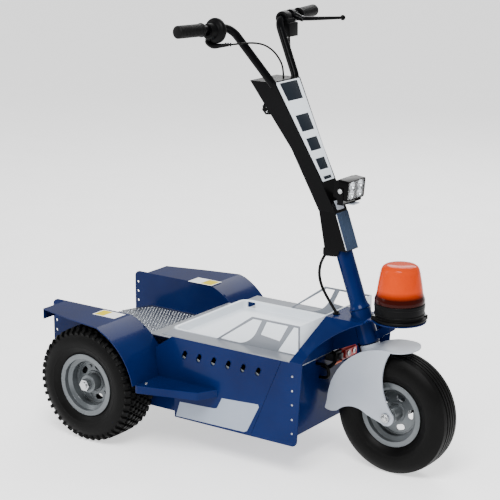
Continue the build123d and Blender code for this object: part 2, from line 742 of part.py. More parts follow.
with BuildPart() as power_connector:
    with BuildSketch(cross_plane(BULKHEAD_AT + SHEET)):
        with Locations(CONNECTOR_AT):
            Rectangle(*CONNECTOR_SIZE)
    extrude(amount=CONNECTOR_DEPTH - PLUG_STEP)
    with BuildSketch(cross_plane(BULKHEAD_AT + SHEET + CONNECTOR_DEPTH - PLUG_STEP)):
        with Locations(CONNECTOR_AT):
            Rectangle(*PLUG_FACE)
    extrude(amount=PLUG_STEP)

# Main cable, from the foot of the column down to the hood
CABLE_RADIUS = 4
CABLE_Y = -20
CABLE_ROUTE = [
    (611, 586.5),
    (591, 558),
    (581, 523),
    (587, 487),
    (610, 450),
    (639, HOOD_TOP + 2.8),
]


def arc_radii(points):
    """The largest bend radius at each corner that leaves a tenth of each run straight."""
    radii = []
    for before, here, after in zip(points, points[1:], points[2:]):
        run_in = Vector(*here) - Vector(*before)
        run_out = Vector(*after) - Vector(*here)
        half_turn = radians(run_in.get_angle(run_out)) / 2
        radii.append(0.45 * min(run_in.length, run_out.length) / tan(half_turn))
    return radii


main_cable_points = [(REAR_X + x, CABLE_Y, z) for x, z in CABLE_ROUTE]
with BuildPart() as main_cable:
    with BuildLine() as main_cable_path:
        FilletPolyline(*main_cable_points, radius=arc_radii(main_cable_points))
    with BuildSketch(Plane(origin=main_cable_path.line @ 0, z_dir=main_cable_path.line % 0)):
        Circle(CABLE_RADIUS)
    sweep()


# Wheels
def wheel_plane(x, y, z):
    """The plane of a wheel's section: across the wheel and outward from its axle."""
    return Plane(origin=(x, y, z), x_dir=(0, 1, 0), z_dir=(1, 0, 0))


BEAD_WIDTH = 8
TYRE_WALL = 7
TYRE_CROWN = 14
SHOULDER = 9
GROOVE_WIDTH = 4
GROOVE_DEPTH = 5
RIM_SHEET = 3
SEAT_WIDTH = 15
WELL_DEPTH = 11
DISC_SHEET = 4
SLOT_LENGTH = 26
SLOT_WIDTH = 16


def make_tyre(centre, radius, width, rim_width, groove_count=0):
    """A hollow tyre round its axle, with running grooves where it has them."""
    x, y, z = centre
    bead = rim_width / 2 - RIM_SHEET - FIT
    foot = BEAD_RADIUS + RIM_SHEET / 2 + FIT
    bead_top = RIM_FLANGE_RADIUS + 2
    bulge = (bead_top + radius) / 2 - 4
    shoulder = width / 2 - SHOULDER
    with BuildPart() as tyre:
        with BuildSketch(wheel_plane(x, y, z)):
            with BuildLine():
                left_wall = ThreePointArc(
                    (-bead, bead_top), (-width / 2, bulge), (-shoulder, radius - SHOULDER)
                )
                crown = ThreePointArc(
                    (SHOULDER - shoulder, radius - 2), (0, radius), (shoulder - SHOULDER, radius - 2)
                )
                Line(left_wall @ 1, crown @ 0)
                right_wall = ThreePointArc(
                    (shoulder, radius - SHOULDER), (width / 2, bulge), (bead, bead_top)
                )
                Line(crown @ 1, right_wall @ 0)
                inner_right = ThreePointArc(
                    (bead - BEAD_WIDTH, bead_top),
                    (width / 2 - TYRE_WALL, bulge),
                    (shoulder - TYRE_WALL, radius - TYRE_CROWN),
                )
                Polyline(right_wall @ 1, (bead, foot), (bead - BEAD_WIDTH, foot), inner_right @ 0)
                inner_left = ThreePointArc(
                    (TYRE_WALL - shoulder, radius - TYRE_CROWN),
                    (TYRE_WALL - width / 2, bulge),
                    (BEAD_WIDTH - bead, bead_top),
                )
                Line(inner_right @ 1, inner_left @ 0)
                Polyline(inner_left @ 1, (BEAD_WIDTH - bead, foot), (-bead, foot), left_wall @ 0)
            make_face()
            if groove_count:
                pitch = 2 * (shoulder - SHOULDER) / (groove_count + 1)
                grooves = [(pitch * (i - (groove_count - 1) / 2), radius) for i in range(groove_count)]
                with Locations(*grooves):
                    Rectangle(GROOVE_WIDTH, 2 * GROOVE_DEPTH, mode=Mode.SUBTRACT)
        revolve(axis=Axis((x, y, z), (0, 1, 0)))
    return tyre


def make_rim(centre, rim_width, shaft_radius, hub_radius, hub_half, disc_at, slots):
    """A pressed rim: a stepped barrel, a disc with openings and a hub tube."""
    x, y, z = centre
    half = rim_width / 2
    well = BEAD_RADIUS - WELL_DEPTH
    with BuildPart() as rim:
        with BuildSketch(wheel_plane(x, y, z)):
            with BuildLine():
                Polyline(
                    (-half + RIM_SHEET / 2, RIM_FLANGE_RADIUS),
                    (-half + RIM_SHEET / 2, BEAD_RADIUS),
                    (-half + SEAT_WIDTH, BEAD_RADIUS),
                    (-half + SEAT_WIDTH + WELL_DEPTH / 2, well),
                    (half - SEAT_WIDTH - WELL_DEPTH / 2, well),
                    (half - SEAT_WIDTH, BEAD_RADIUS),
                    (half - RIM_SHEET / 2, BEAD_RADIUS),
                    (half - RIM_SHEET / 2, RIM_FLANGE_RADIUS),
                )
            trace(line_width=RIM_SHEET)
        revolve(axis=Axis((x, y, z), (0, 1, 0)))
        with BuildSketch(wheel_plane(x, y, z)):
            with Locations((disc_at, (hub_radius + well) / 2)):
                Rectangle(DISC_SHEET, well - hub_radius + RIM_SHEET / 2)
            with Locations((0, (shaft_radius + FIT + hub_radius) / 2)):
                Rectangle(2 * hub_half, hub_radius - shaft_radius - FIT)
        revolve(axis=Axis((x, y, z), (0, 1, 0)))
        with BuildSketch(axle_plane(y + half, x, z)):
            with PolarLocations((hub_radius + well) / 2, slots):
                SlotOverall(SLOT_LENGTH, SLOT_WIDTH, rotation=90)
        extrude(amount=rim_width, mode=Mode.SUBTRACT)
    return rim


FRONT_HUB_HALF = 46
front_centre = (FRONT_X, 0, FRONT_Z)
front_tyre = make_tyre(front_centre, FRONT_TYRE_RADIUS, FRONT_TYRE_WIDTH, FRONT_RIM_WIDTH, 4)
front_rim = make_rim(front_centre, FRONT_RIM_WIDTH, FRONT_AXLE_RADIUS, 20, FRONT_HUB_HALF, 0, 5)
rear_wheels = {}
for side, sign in (("right", -1), ("left", 1)):
    centre = (REAR_X, sign * REAR_WHEEL_Y, REAR_Z)
    rear_wheels["rear_tyre_" + side] = make_tyre(centre, REAR_TYRE_RADIUS, REAR_TYRE_WIDTH, REAR_RIM_WIDTH)
    rear_wheels["rear_rim_" + side] = make_rim(
        centre, REAR_RIM_WIDTH, REAR_SHAFT_RADIUS, 24, HUB_HALF, sign * 8, 5
    )

# Fork: two pressed arms, an arched sheet behind the tyre and a round-nosed crown over it
ARM_EYE_RADIUS = 23


def from_eye(x, z):
    """A side-view point measured from the front axle."""
    return (FRONT_X + x, FRONT_Z + z)


with BuildPart() as fork:
    front_eye = (FRONT_X, FRONT_Z)
    arch_inner = FORK_ARC_RADIUS - FORK_SHEET
    for arm_y in (-FORK_INNER_HALF, FORK_INNER_HALF + FORK_PLATE):
        with BuildSketch(side_plane(arm_y)):
            with BuildLine():
                back = ThreePointArc(
                    on_arc(FORK_ARC_RADIUS, 90, front_eye),
                    on_arc(FORK_ARC_RADIUS, 133, front_eye),
                    on_arc(FORK_ARC_RADIUS, 176, front_eye),
                )
                heel = ThreePointArc(from_eye(-191, -11), from_eye(-171, -15), from_eye(-150, -9))
                Line(back @ 1, heel @ 0)
                hollow = ThreePointArc(heel @ 1, from_eye(-105, 10), from_eye(-60, -3))
                eye = ThreePointArc(
                    on_arc(ARM_EYE_RADIUS, 234, front_eye),
                    on_arc(ARM_EYE_RADIUS, 315, front_eye),
                    on_arc(ARM_EYE_RADIUS, 20, front_eye),
                )
                Line(hollow @ 1, eye @ 0)
                shin = ThreePointArc(eye @ 1, from_eye(-13, 89), from_eye(12, FORK_ARC_RADIUS))
                Line(shin @ 1, back @ 0)
            make_face()
            with Locations(front_eye):
                Circle(FRONT_AXLE_RADIUS + FIT, mode=Mode.SUBTRACT)
        extrude(amount=FORK_PLATE)
    with BuildSketch(side_plane(FORK_INNER_HALF)):
        with BuildLine():
            outer = ThreePointArc(
                on_arc(FORK_ARC_RADIUS, 90, front_eye),
                on_arc(FORK_ARC_RADIUS, 128, front_eye),
                on_arc(FORK_ARC_RADIUS, 166, front_eye),
            )
            inner = ThreePointArc(
                on_arc(arch_inner, 166, front_eye),
                on_arc(arch_inner, 128, front_eye),
                on_arc(arch_inner, 90, front_eye),
            )
            Line(outer @ 1, inner @ 0)
            Line(inner @ 1, outer @ 0)
        make_face()
    extrude(amount=2 * FORK_INNER_HALF)
    with BuildSketch(Plane.XY.offset(FRONT_Z + arch_inner)):
        with Locations((FRONT_X + 12, 0)):
            Ellipse(FORK_NOSE - 12, FORK_INNER_HALF + FORK_PLATE)
        with Locations((FRONT_X + 6, 0)):
            Rectangle(12, 2 * (FORK_INNER_HALF + FORK_PLATE))
        with Locations((FRONT_X - 100, 0)):
            Rectangle(200, 4 * FORK_INNER_HALF, mode=Mode.SUBTRACT)
    extrude(amount=FORK_SHEET)
    with BuildSketch(steer_plane(HEAD_TUBE_LOW - 4)):
        Circle(FORK_BOSS_RADIUS)
    extrude(amount=-24)
    with BuildSketch(side_plane(FORK_INNER_HALF)):
        with Locations(front_eye):
            Circle(arch_inner)
    extrude(amount=2 * FORK_INNER_HALF, mode=Mode.SUBTRACT)

AXLE_HEAD_RADIUS = 13
AXLE_HEAD = 6

with BuildPart() as front_axle:
    axle_half = FORK_INNER_HALF + FORK_PLATE + AXLE_HEAD
    with BuildSketch(axle_plane(axle_half, FRONT_X, FRONT_Z)):
        Circle(FRONT_AXLE_RADIUS)
    extrude(amount=2 * axle_half)
    for head_y in (axle_half, -axle_half + AXLE_HEAD):
        with BuildSketch(axle_plane(head_y, FRONT_X, FRONT_Z)):
            Circle(AXLE_HEAD_RADIUS)
        extrude(amount=AXLE_HEAD)

# Steering tube with its stem and the clamp ring above the head, its bolt lug ahead on the right
CLAMP_RING_RADIUS = 31
CLAMP_RING_HEIGHT = 14
CLAMP_LUG_AT = (28, -22)
CLAMP_LUG = (22, 14)
CLAMP_LUG_TURN = -38

with BuildPart() as steering_tube:
    with BuildSketch(steer_plane(HEAD_TUBE_LOW - 4)):
        Circle(STEM_RADIUS)
    extrude(amount=HEAD_TUBE_HIGH - HEAD_TUBE_LOW + 6)
    with BuildSketch(steer_plane(HEAD_TUBE_HIGH + 1)):
        Circle(COLUMN_TUBE_RADIUS)
    extrude(amount=COLUMN_TUBE_HIGH - HEAD_TUBE_HIGH - 1)
    with BuildSketch(steer_plane(HEAD_TUBE_HIGH + 1)):
        Circle(CLAMP_RING_RADIUS)
        with Locations(CLAMP_LUG_AT):
            Rectangle(*CLAMP_LUG, rotation=CLAMP_LUG_TURN)
    extrude(amount=CLAMP_RING_HEIGHT)

# Column: a sleeve round the tube, then a housing that widens to the handlebar
SLEEVE_LOW = 590
SLEEVE_HIGH = 691
SLEEVE_FRONT = 673
SLEEVE_REAR = (605, 585)
SLEEVE_HALF = (31, 29)
HOUSING_MIDDLE = 850
HOUSING_HIGH = 1027
HOUSING_REAR = (585, 503, 384)
HOUSING_HALF = (30, 40, 63)

with BuildPart() as column_sleeve:
    for level, rear, half in zip((SLEEVE_LOW, SLEEVE_HIGH), SLEEVE_REAR, SLEEVE_HALF):
        face = column_face(level) if level == SLEEVE_HIGH else REAR_X + SLEEVE_FRONT
        with BuildSketch(Plane.XY.offset(level)):
            with Locations(((REAR_X + rear + face) / 2, 0)):
                Rectangle(face - REAR_X - rear, 2 * half)
    loft(ruled=True)
    with BuildSketch(steer_plane(HEAD_TUBE_HIGH)):
        Circle(COLUMN_TUBE_RADIUS + FIT)
    extrude(amount=COLUMN_TUBE_HIGH - HEAD_TUBE_HIGH, mode=Mode.SUBTRACT)

# Cover plate on the sleeve's front, with two pressed grooves
COVER_THICK = 2
COVER_HALF = 28
COVER_MARGIN = 2
COVER_GROOVE_AT = 11
COVER_GROOVE = (2.4, 0.9)

with BuildPart() as sleeve_plate:
    sleeve_foot = Vector(REAR_X + SLEEVE_FRONT, 0, SLEEVE_LOW)
    sleeve_rise = Vector(column_face(SLEEVE_HIGH), 0, SLEEVE_HIGH) - sleeve_foot
    cover_length = sleeve_rise.length - 2 * COVER_MARGIN
    cover_normal = (sleeve_rise.Z, 0, -sleeve_rise.X)
    cover_plane = Plane(origin=sleeve_foot, x_dir=(0, 1, 0), z_dir=cover_normal)
    with BuildSketch(cover_plane):
        with Locations((0, sleeve_rise.length / 2)):
            Rectangle(2 * COVER_HALF, cover_length)
    extrude(amount=COVER_THICK)
    with BuildSketch(cover_plane.offset(COVER_THICK)):
        with Locations(
            (-COVER_GROOVE_AT, sleeve_rise.length / 2),
            (COVER_GROOVE_AT, sleeve_rise.length / 2),
        ):
            Rectangle(COVER_GROOVE[0], cover_length)
    extrude(amount=-COVER_GROOVE[1], mode=Mode.SUBTRACT)

# Handlebar: one bent tube, seated in the top of the housing
BAR_END = (337, 317, 1176)
BAR_BEND = (355, 110, 1170)
BAR_NECK = (446, 60, 1032)
BAR_FOOT = (458, 44, 1002)
BAR_RADII = [45, 60, 26]
BAR_WALL = 2.5

bar_half = [BAR_END, BAR_BEND, BAR_NECK, BAR_FOOT]
bar_points = [(REAR_X + x, -y, z) for x, y, z in bar_half]
bar_points += [(REAR_X + x, y, z) for x, y, z in reversed(bar_half)]
bar_radii = BAR_RADII + BAR_RADII[::-1]

with BuildPart() as handlebar:
    with BuildLine() as bar_path:
        FilletPolyline(*bar_points, radius=bar_radii)
    with BuildSketch(Plane(origin=bar_path.line @ 0, z_dir=bar_path.line % 0)):
        Circle(BAR_RADIUS)
        Circle(BAR_RADIUS - BAR_WALL, mode=Mode.SUBTRACT)
    sweep()

with BuildPart() as bar_channel:
    with BuildLine() as channel_path:
        FilletPolyline(*bar_points, radius=bar_radii)
    with BuildSketch(Plane(origin=channel_path.line @ 0, z_dir=channel_path.line % 0)):
        Circle(BAR_RADIUS + FIT)
    sweep()

# Housing of the column, with a small catch on the right of its rear face
CATCH_FROM = 29
CATCH_WIDTH = 18
CATCH_PROFILE = ((447, 938), (431, 962), (418, 966), (412, 948), (424, 936))

with BuildPart() as column_housing:
    for level, rear, half in zip((SLEEVE_HIGH, HOUSING_MIDDLE, HOUSING_HIGH), HOUSING_REAR, HOUSING_HALF):
        face = column_face(level)
        with BuildSketch(Plane.XY.offset(level)):
            with Locations(((REAR_X + rear + face) / 2, 0)):
                Rectangle(face - REAR_X - rear, 2 * half)
    loft(ruled=True)
    with BuildSketch(side_plane(-CATCH_FROM)):
        with BuildLine():
            Polyline(*[from_axle(*point) for point in CATCH_PROFILE], close=True)
        make_face()
    extrude(amount=CATCH_WIDTH)
    add(bar_channel.part, mode=Mode.SUBTRACT)

# Column panel: a thin tapered plate with five windows on the housing's front face
PANEL_THICK = 2
PANEL_LENGTH = 290
PANEL_HALF_TOP = 55
PANEL_HALF_LOW = 27
WINDOWS = ((6, 58, 42, 36), (100, 147, 31, 29), (167, 203, 26, 25), (226, 258, 22, 21), (277, 286, 19, 18))

with BuildPart() as column_panel:
    lean = radians(COLUMN_LEAN)
    panel_plane = Plane(
        origin=(column_face(HOUSING_HIGH), 0, HOUSING_HIGH),
        x_dir=(0, 1, 0),
        z_dir=(cos(lean), 0, sin(lean)),
    )
    with BuildSketch(panel_plane):
        with BuildLine():
            Polyline(
                (-PANEL_HALF_TOP, -2),
                (PANEL_HALF_TOP, -2),
                (PANEL_HALF_LOW, -PANEL_LENGTH),
                (-PANEL_HALF_LOW, -PANEL_LENGTH),
                close=True,
            )
        make_face()
        for top, low, half_top, half_low in WINDOWS:
            with BuildLine():
                Polyline(
                    (-half_top, -top),
                    (half_top, -top),
                    (half_low, -low),
                    (-half_low, -low),
                    close=True,
                )
            make_face(mode=Mode.SUBTRACT)
    extrude(amount=PANEL_THICK)


def bar_plane(y):
    """A plane square to a grip, at a distance out from the middle."""
    outer = Vector(REAR_X + BAR_END[0], BAR_END[1], BAR_END[2])
    bend = Vector(REAR_X + BAR_BEND[0], BAR_BEND[1], BAR_BEND[2])
    along = (outer - bend).normalized()
    return Plane(origin=outer - along * ((outer.Y - y) / along.Y), z_dir=along)


# Grips and the controls inboard of them
BAR_BORE = BAR_RADIUS + FIT / 2

with BuildPart() as grips:
    with BuildSketch(bar_plane(BAR_END[1] - GRIP_LENGTH)):
        Circle(GRIP_RADIUS)
        Circle(BAR_BORE, mode=Mode.SUBTRACT)
    extrude(amount=GRIP_LENGTH)
    mirror(about=Plane.XZ)

THROTTLE_RADIUS = 36
THROTTLE_AT = 170
THROTTLE_WIDTH = 22
ADJUSTER_RADIUS = 5
ADJUSTER_ARM = ((366, 168, 1148), (387, 171, 1132))
ADJUSTER_BARREL = ((385, 180, 1132), (390, 157, 1132))

with BuildPart() as throttle_left:
    with BuildSketch(bar_plane(THROTTLE_AT - THROTTLE_WIDTH / 2)):
        Circle(THROTTLE_RADIUS)
        Circle(BAR_BORE, mode=Mode.SUBTRACT)
    extrude(amount=THROTTLE_WIDTH)
    for ends in (ADJUSTER_ARM, ADJUSTER_BARREL):
        rod = [(REAR_X + x, y, z) for x, y, z in ends]
        with BuildSketch(rod_plane(*rod)):
            Circle(ADJUSTER_RADIUS)
        extrude(amount=rod_length(*rod))

with BuildPart() as throttle_housing:
    mirror(throttle_left.part, about=Plane.XZ)

# Switch housing under the left-hand bar
CLAMP_RADIUS = 19
CLAMP_WIDTH = 16
SWITCH_CLAMP_AT = 144
SWITCH_AT = (380, 146)
SWITCH_LOW_Z = 1120
SWITCH_SIZE = (32, 44, 44)
SWITCH_ROUND = 10

with BuildPart() as switch_housing:
    with BuildSketch(bar_plane(SWITCH_CLAMP_AT)):
        Circle(CLAMP_RADIUS)
        Circle(BAR_BORE, mode=Mode.SUBTRACT)
    extrude(amount=CLAMP_WIDTH)
    with BuildSketch(Plane.XY.offset(SWITCH_LOW_Z)):
        with Locations((REAR_X + SWITCH_AT[0], SWITCH_AT[1])):
            Rectangle(SWITCH_SIZE[0], SWITCH_SIZE[1])
        fillet(vertices(), SWITCH_ROUND)
    extrude(amount=SWITCH_SIZE[2])

# Brake lever: a clamp, a perch reaching forward, and a tapered blade with a ball end
LEVER_CLAMP_AT = 176
LEVER_PERCH = (349, 184, 1172)
LEVER_ROOT = (382, 186, 1158)
LEVER_TIP = (430, 325, 1137)
PERCH_RADIUS = 8
LEVER_HALF_ROOT = 7
LEVER_HALF_TIP = 4.5
LEVER_THICK = 8
LEVER_BALL = 8

with BuildPart() as brake_lever:
    perch, lever_root, lever_tip = [
        (REAR_X + x, y, z) for x, y, z in (LEVER_PERCH, LEVER_ROOT, LEVER_TIP)
    ]
    blade_length = rod_length(lever_root, lever_tip)
    blade_dir = (Vector(*lever_tip) - Vector(*lever_root)).normalized()
    blade_up = Vector(0, 0, 1) - blade_dir * blade_dir.Z
    with BuildSketch(bar_plane(LEVER_CLAMP_AT)):
        Circle(CLAMP_RADIUS)
    extrude(amount=CLAMP_WIDTH)
    with BuildSketch(rod_plane(perch, lever_root)):
        Circle(PERCH_RADIUS)
    extrude(amount=rod_length(perch, lever_root))
    with BuildSketch(Plane(origin=lever_root, x_dir=blade_dir, z_dir=blade_up)):
        Circle(PERCH_RADIUS)
        with BuildLine():
            Polyline(
                (0, -LEVER_HALF_ROOT),
                (blade_length, -LEVER_HALF_TIP),
                (blade_length, LEVER_HALF_TIP),
                (0, LEVER_HALF_ROOT),
                close=True,
            )
        make_face()
        with Locations((blade_length, 0)):
            Circle(LEVER_BALL)
    extrude(amount=LEVER_THICK / 2, both=True)
    with BuildSketch(bar_plane(LEVER_CLAMP_AT - CLAMP_WIDTH)):
        Circle(BAR_BORE)
    extrude(amount=3 * CLAMP_WIDTH, mode=Mode.SUBTRACT)

# Work lamp, its yoke and the bracket that carries them on the front of the column
LAMP_AT = 683
LAMP_Z = 756
LAMP_TILT = 5.6
LAMP_HALF = 43
LAMP_HEIGHT = 54
LAMP_DEPTH = 44
LAMP_ROUND = 5
LAMP_BEZEL = 3
LENS_DEPTH = 3
YOKE_SHEET = 3
YOKE_HALF_WIDTH = 9
YOKE_AT = 22
BRACKET_FOOT_Z = 697
BRACKET_BEND_Z = 719
TONGUE_FRONT = 684
TONGUE_HALF = 15


def lamp_plane(ahead):
    """An upright plane square to the lamp's beam, ahead of the middle of its face."""
    tilt = radians(LAMP_TILT)
    return Plane(
        origin=(REAR_X + LAMP_AT + ahead * cos(tilt), 0, LAMP_Z - ahead * sin(tilt)),
        x_dir=(0, 1, 0),
        z_dir=(cos(tilt), 0, -sin(tilt)),
    )


with BuildPart() as headlamp_housing:
    with BuildSketch(lamp_plane(0)):
        RectangleRounded(2 * LAMP_HALF, LAMP_HEIGHT, LAMP_ROUND)
    extrude(amount=-LAMP_DEPTH)
    with BuildSketch(lamp_plane(0)):
        RectangleRounded(2 * (LAMP_HALF - LAMP_BEZEL), LAMP_HEIGHT - 2 * LAMP_BEZEL, LAMP_ROUND)
    extrude(amount=-LENS_DEPTH, mode=Mode.SUBTRACT)

with BuildPart() as headlamp_lens:
    with BuildSketch(lamp_plane(-LENS_DEPTH)):
        RectangleRounded(2 * (LAMP_HALF - LAMP_BEZEL), LAMP_HEIGHT - 2 * LAMP_BEZEL, LAMP_ROUND)
    extrude(amount=LENS_DEPTH - 1)

with BuildPart() as lamp_yoke:
    yoke_low = BRACKET_BEND_Z
    yoke_x = REAR_X + LAMP_AT - YOKE_AT
    with BuildSketch(Plane.XY.offset(yoke_low)):
        with Locations((yoke_x, 0)):
            Rectangle(2 * YOKE_HALF_WIDTH, 2 * (LAMP_HALF + YOKE_SHEET))
    extrude(amount=YOKE_SHEET)
    with BuildSketch(Plane.XY.offset(yoke_low)):
        with Locations((yoke_x, LAMP_HALF + YOKE_SHEET / 2), (yoke_x, -LAMP_HALF - YOKE_SHEET / 2)):
            Rectangle(2 * YOKE_HALF_WIDTH, YOKE_SHEET)
    extrude(amount=LAMP_Z + YOKE_HALF_WIDTH - yoke_low)

with BuildPart() as lamp_bracket:
    with BuildSketch(side_plane(TONGUE_HALF)):
        with BuildLine():
            Polyline(
                (column_face(BRACKET_FOOT_Z), BRACKET_FOOT_Z),
                (column_face(BRACKET_BEND_Z), BRACKET_BEND_Z),
                from_axle(TONGUE_FRONT, BRACKET_BEND_Z),
                from_axle(TONGUE_FRONT, BRACKET_BEND_Z - SHEET),
                (column_face(BRACKET_BEND_Z) + 2 * SHEET, BRACKET_BEND_Z - SHEET),
                (column_face(BRACKET_FOOT_Z) + SHEET, BRACKET_FOOT_Z),
                close=True,
            )
        make_face()
    extrude(amount=2 * TONGUE_HALF)

# Control cable, from the throttle's adjuster to the top of the column
CONTROL_ROUTE = [
    (390.1, -156.6, 1132),
    (399, -118, 1132),
    (412, -84, 1131),
    (427, -56, 1124),
    (441, -34, 1106),
    (450, -16, 1080),
    (451, -3, 1054),
    (447, 3, HOUSING_HIGH + 1.2),
]
CONTROL_RADIUS = 2.5
control_points = [(REAR_X + x, y, z) for x, y, z in CONTROL_ROUTE]

with BuildPart() as control_cable:
    with BuildLine() as control_path:
        FilletPolyline(*control_points, radius=arc_radii(control_points))
    with BuildSketch(Plane(origin=control_path.line @ 0, z_dir=control_path.line % 0)):
        Circle(CONTROL_RADIUS)
    sweep()

# Left-hand pieces mirror the right-hand ones, as nodes of their own or as one node of two
HANDED = {
    "side_panel": side_panel_right,
    "wheel_plate": wheel_plate_right,
    "fender": fender_right,
}
PAIRS = {
    "nose_sides": nose_side_right,
    "side_steps": step_right,
    "tray_guards": guard_right,
}
nodes = {
    "deck": deck,
    "body_top": body_top,
    "rear_wall": rear_wall,
    "belly_pan": belly_pan,
    "bulkhead": bulkhead,
    "battery_block": battery_block,
    "nose_wall": nose_wall,
    "hood": hood,
    "head_frame": head_frame,
    "tray": tray,
    "beacon_base": beacon_base,
    "beacon_lens": beacon_lens,
    "tow_hitch": tow_hitch,
    "rear_axle": rear_axle,
    "drive_unit": drive_unit,
    "power_connector": power_connector,
    "main_cable": main_cable,
    "front_tyre": front_tyre,
    "front_rim": front_rim,
    "fork": fork,
    "front_axle": front_axle,
    "steering_tube": steering_tube,
    "column_sleeve": column_sleeve,
    "sleeve_plate": sleeve_plate,
    "column_housing": column_housing,
    "column_panel": column_panel,
    "handlebar": handlebar,
    "grips": grips,
    "throttle_housing": throttle_housing,
    "switch_housing": switch_housing,
    "brake_lever": brake_lever,
    "headlamp_housing": headlamp_housing,
    "headlamp_lens": headlamp_lens,
    "lamp_yoke": lamp_yoke,
    "lamp_bracket": lamp_bracket,
    "control_cable": control_cable,
}
nodes.update(rear_wheels)
for name, right in HANDED.items():
    with BuildPart() as left:
        mirror(right.part, about=Plane.XZ)
    nodes[name + "_right"] = right
    nodes[name + "_left"] = left
for name, right in PAIRS.items():
    with BuildPart() as both:
        add(right.part)
        mirror(right.part, about=Plane.XZ)
    nodes[name] = both

os.makedirs("parts", exist_ok=True)
for name, node in nodes.items():
    node.part.label = name
    export_step(node.part, "parts/" + name + ".step")
print("bend radii", [round(r) for r in arc_radii(main_cable_points) + arc_radii(control_points)])
print(len(nodes), "nodes")
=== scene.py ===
# %% [markdown]
# # Electric tow tug
# A tow tug is a small three-wheeled truck that a rider steers with a raked column.
# The solids are loaded first and never moved, so every piece below is placed from their sizes.

# %% Load the solids
import bmesh
import bpy
import json
from math import atan2, cos, pi, radians, sin, sqrt, tau
from mathutils import Matrix, Vector


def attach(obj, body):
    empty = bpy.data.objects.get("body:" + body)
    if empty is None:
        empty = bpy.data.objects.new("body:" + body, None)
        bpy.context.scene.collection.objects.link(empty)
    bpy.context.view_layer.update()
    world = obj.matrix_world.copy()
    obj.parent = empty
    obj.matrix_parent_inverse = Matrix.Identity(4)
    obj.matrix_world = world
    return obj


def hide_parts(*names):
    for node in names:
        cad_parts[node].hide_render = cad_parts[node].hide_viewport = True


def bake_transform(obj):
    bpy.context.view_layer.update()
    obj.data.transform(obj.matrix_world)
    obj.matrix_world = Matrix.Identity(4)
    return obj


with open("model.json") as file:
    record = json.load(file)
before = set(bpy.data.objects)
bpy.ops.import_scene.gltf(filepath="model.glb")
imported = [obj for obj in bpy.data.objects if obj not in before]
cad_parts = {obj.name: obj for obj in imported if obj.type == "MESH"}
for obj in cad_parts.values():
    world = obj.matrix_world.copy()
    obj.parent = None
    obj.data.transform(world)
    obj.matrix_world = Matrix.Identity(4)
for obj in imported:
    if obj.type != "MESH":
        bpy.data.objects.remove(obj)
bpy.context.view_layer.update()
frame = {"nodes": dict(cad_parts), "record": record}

# %% [markdown]
# ## Places
# Lengths on the tug are easiest to read in millimetres counted forward from the rear axle.
# One small function turns them into metres in the model's own frame.

# %% Places
REAR_X = -348
WHEEL_Z = 165
REAR_WHEEL_Y = 268
FRONT_WHEEL_X = 821
BODY_SIDE = 228
BOTH = (-1, 1)
UP = Vector((0, 0, 1))
LEFT = Vector((0, 1, 0))
AHEAD = Vector((1, 0, 0))


def at(x, y, z):
    """A point in millimetres from the rear axle, in metres of the model's frame."""
    return Vector((REAR_X + x, y, z)) / 1000


def place_object(name, data):
    """A new object of the scene that shows the given data."""
    made = bpy.data.objects.new(name, data)
    bpy.context.scene.collection.objects.link(made)
    return made


print("rear axle", tuple(at(0, 0, WHEEL_Z)), "front axle", tuple(at(FRONT_WHEEL_X, 0, WHEEL_Z)))

# %% [markdown]
# ## Camera
# A long lens from the tug's right front keeps the sides nearly parallel, as in a studio picture.

# %% Camera
LENS = 117.4
CAMERA_PLACE = (2.530, -3.585, 1.685)
AIMED_AT = Vector((-0.0084, 0, 0.5395))
camera_data = bpy.data.cameras.new("studio_camera")
camera_data.sensor_width = 36
camera_data.lens = LENS
camera = place_object("studio_camera", camera_data)
camera.location = CAMERA_PLACE
aim = AIMED_AT - camera.location
camera.rotation_mode = "QUATERNION"
camera.rotation_quaternion = aim.to_track_quat("-Z", "Y")
bpy.context.scene.camera = camera
print("camera stands", round(aim.length, 2), "m away")

# %% [markdown]
# ## Cables
# A black cable leaves the foot of the column and goes down into the hood, and a thin control cable
# runs from the throttle into the top of the column. Each follows one smooth spline through a few
# points, which bends as a real cable does, and is kept as a mesh tube. The lower one stays where it
# is made and belongs to neither body.

# %% Cables
MAIN_ROUTE = [
    (611, -20, 586.5), (591, -20, 558), (581, -20, 523), (587, -20, 487), (610, -20, 450), (639, -20, 413.8),
]
CONTROL_ROUTE = [
    (390.1, -156.6, 1132), (399, -118, 1132), (412, -84, 1131), (427, -56, 1124),
    (441, -34, 1106), (450, -16, 1080), (451, -3, 1054), (447, 3, 1028.2),
]


def evaluated_mesh(made):
    """The mesh that an object shows now."""
    bpy.context.view_layer.update()
    return bpy.data.meshes.new_from_object(made.evaluated_get(bpy.context.evaluated_depsgraph_get()))


def length_of(points):
    """The length of a line of points."""
    return sum((b - a).length for a, b in zip(points, points[1:]))


def cable_tube(name, route, radius):
    """A round cable along a smooth spline as a mesh tube, with the line that it follows."""
    curve = bpy.data.curves.new(name, "CURVE")
    curve.dimensions = "3D"
    curve.bevel_resolution = 5
    curve.resolution_u = 10
    curve.use_fill_caps = True
    spline = curve.splines.new("NURBS")
    spline.points.add(len(route) - 1)
    for control, place in zip(spline.points, route):
        control.co = (*at(*place), 1)
    spline.order_u = 3
    spline.use_endpoint_u = True
    guide = place_object(name + "_guide", curve)
    line = [v.co.copy() for v in evaluated_mesh(guide).vertices]
    curve.bevel_depth = radius
    tube = place_object(name, evaluated_mesh(guide))
    bpy.data.objects.remove(guide)
    tube.data.shade_smooth()
    return tube, line


main_cable, main_line = cable_tube("main_cable_tube", MAIN_ROUTE, 0.004)
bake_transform(main_cable)
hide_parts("main_cable")

control_cable, control_line = cable_tube("control_cable_tube", CONTROL_ROUTE, 0.0025)
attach(control_cable, "steering")
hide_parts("control_cable")
for label, line in (("main cable", main_line), ("control cable", control_line)):
    print(label, round(length_of(line), 4), "m")

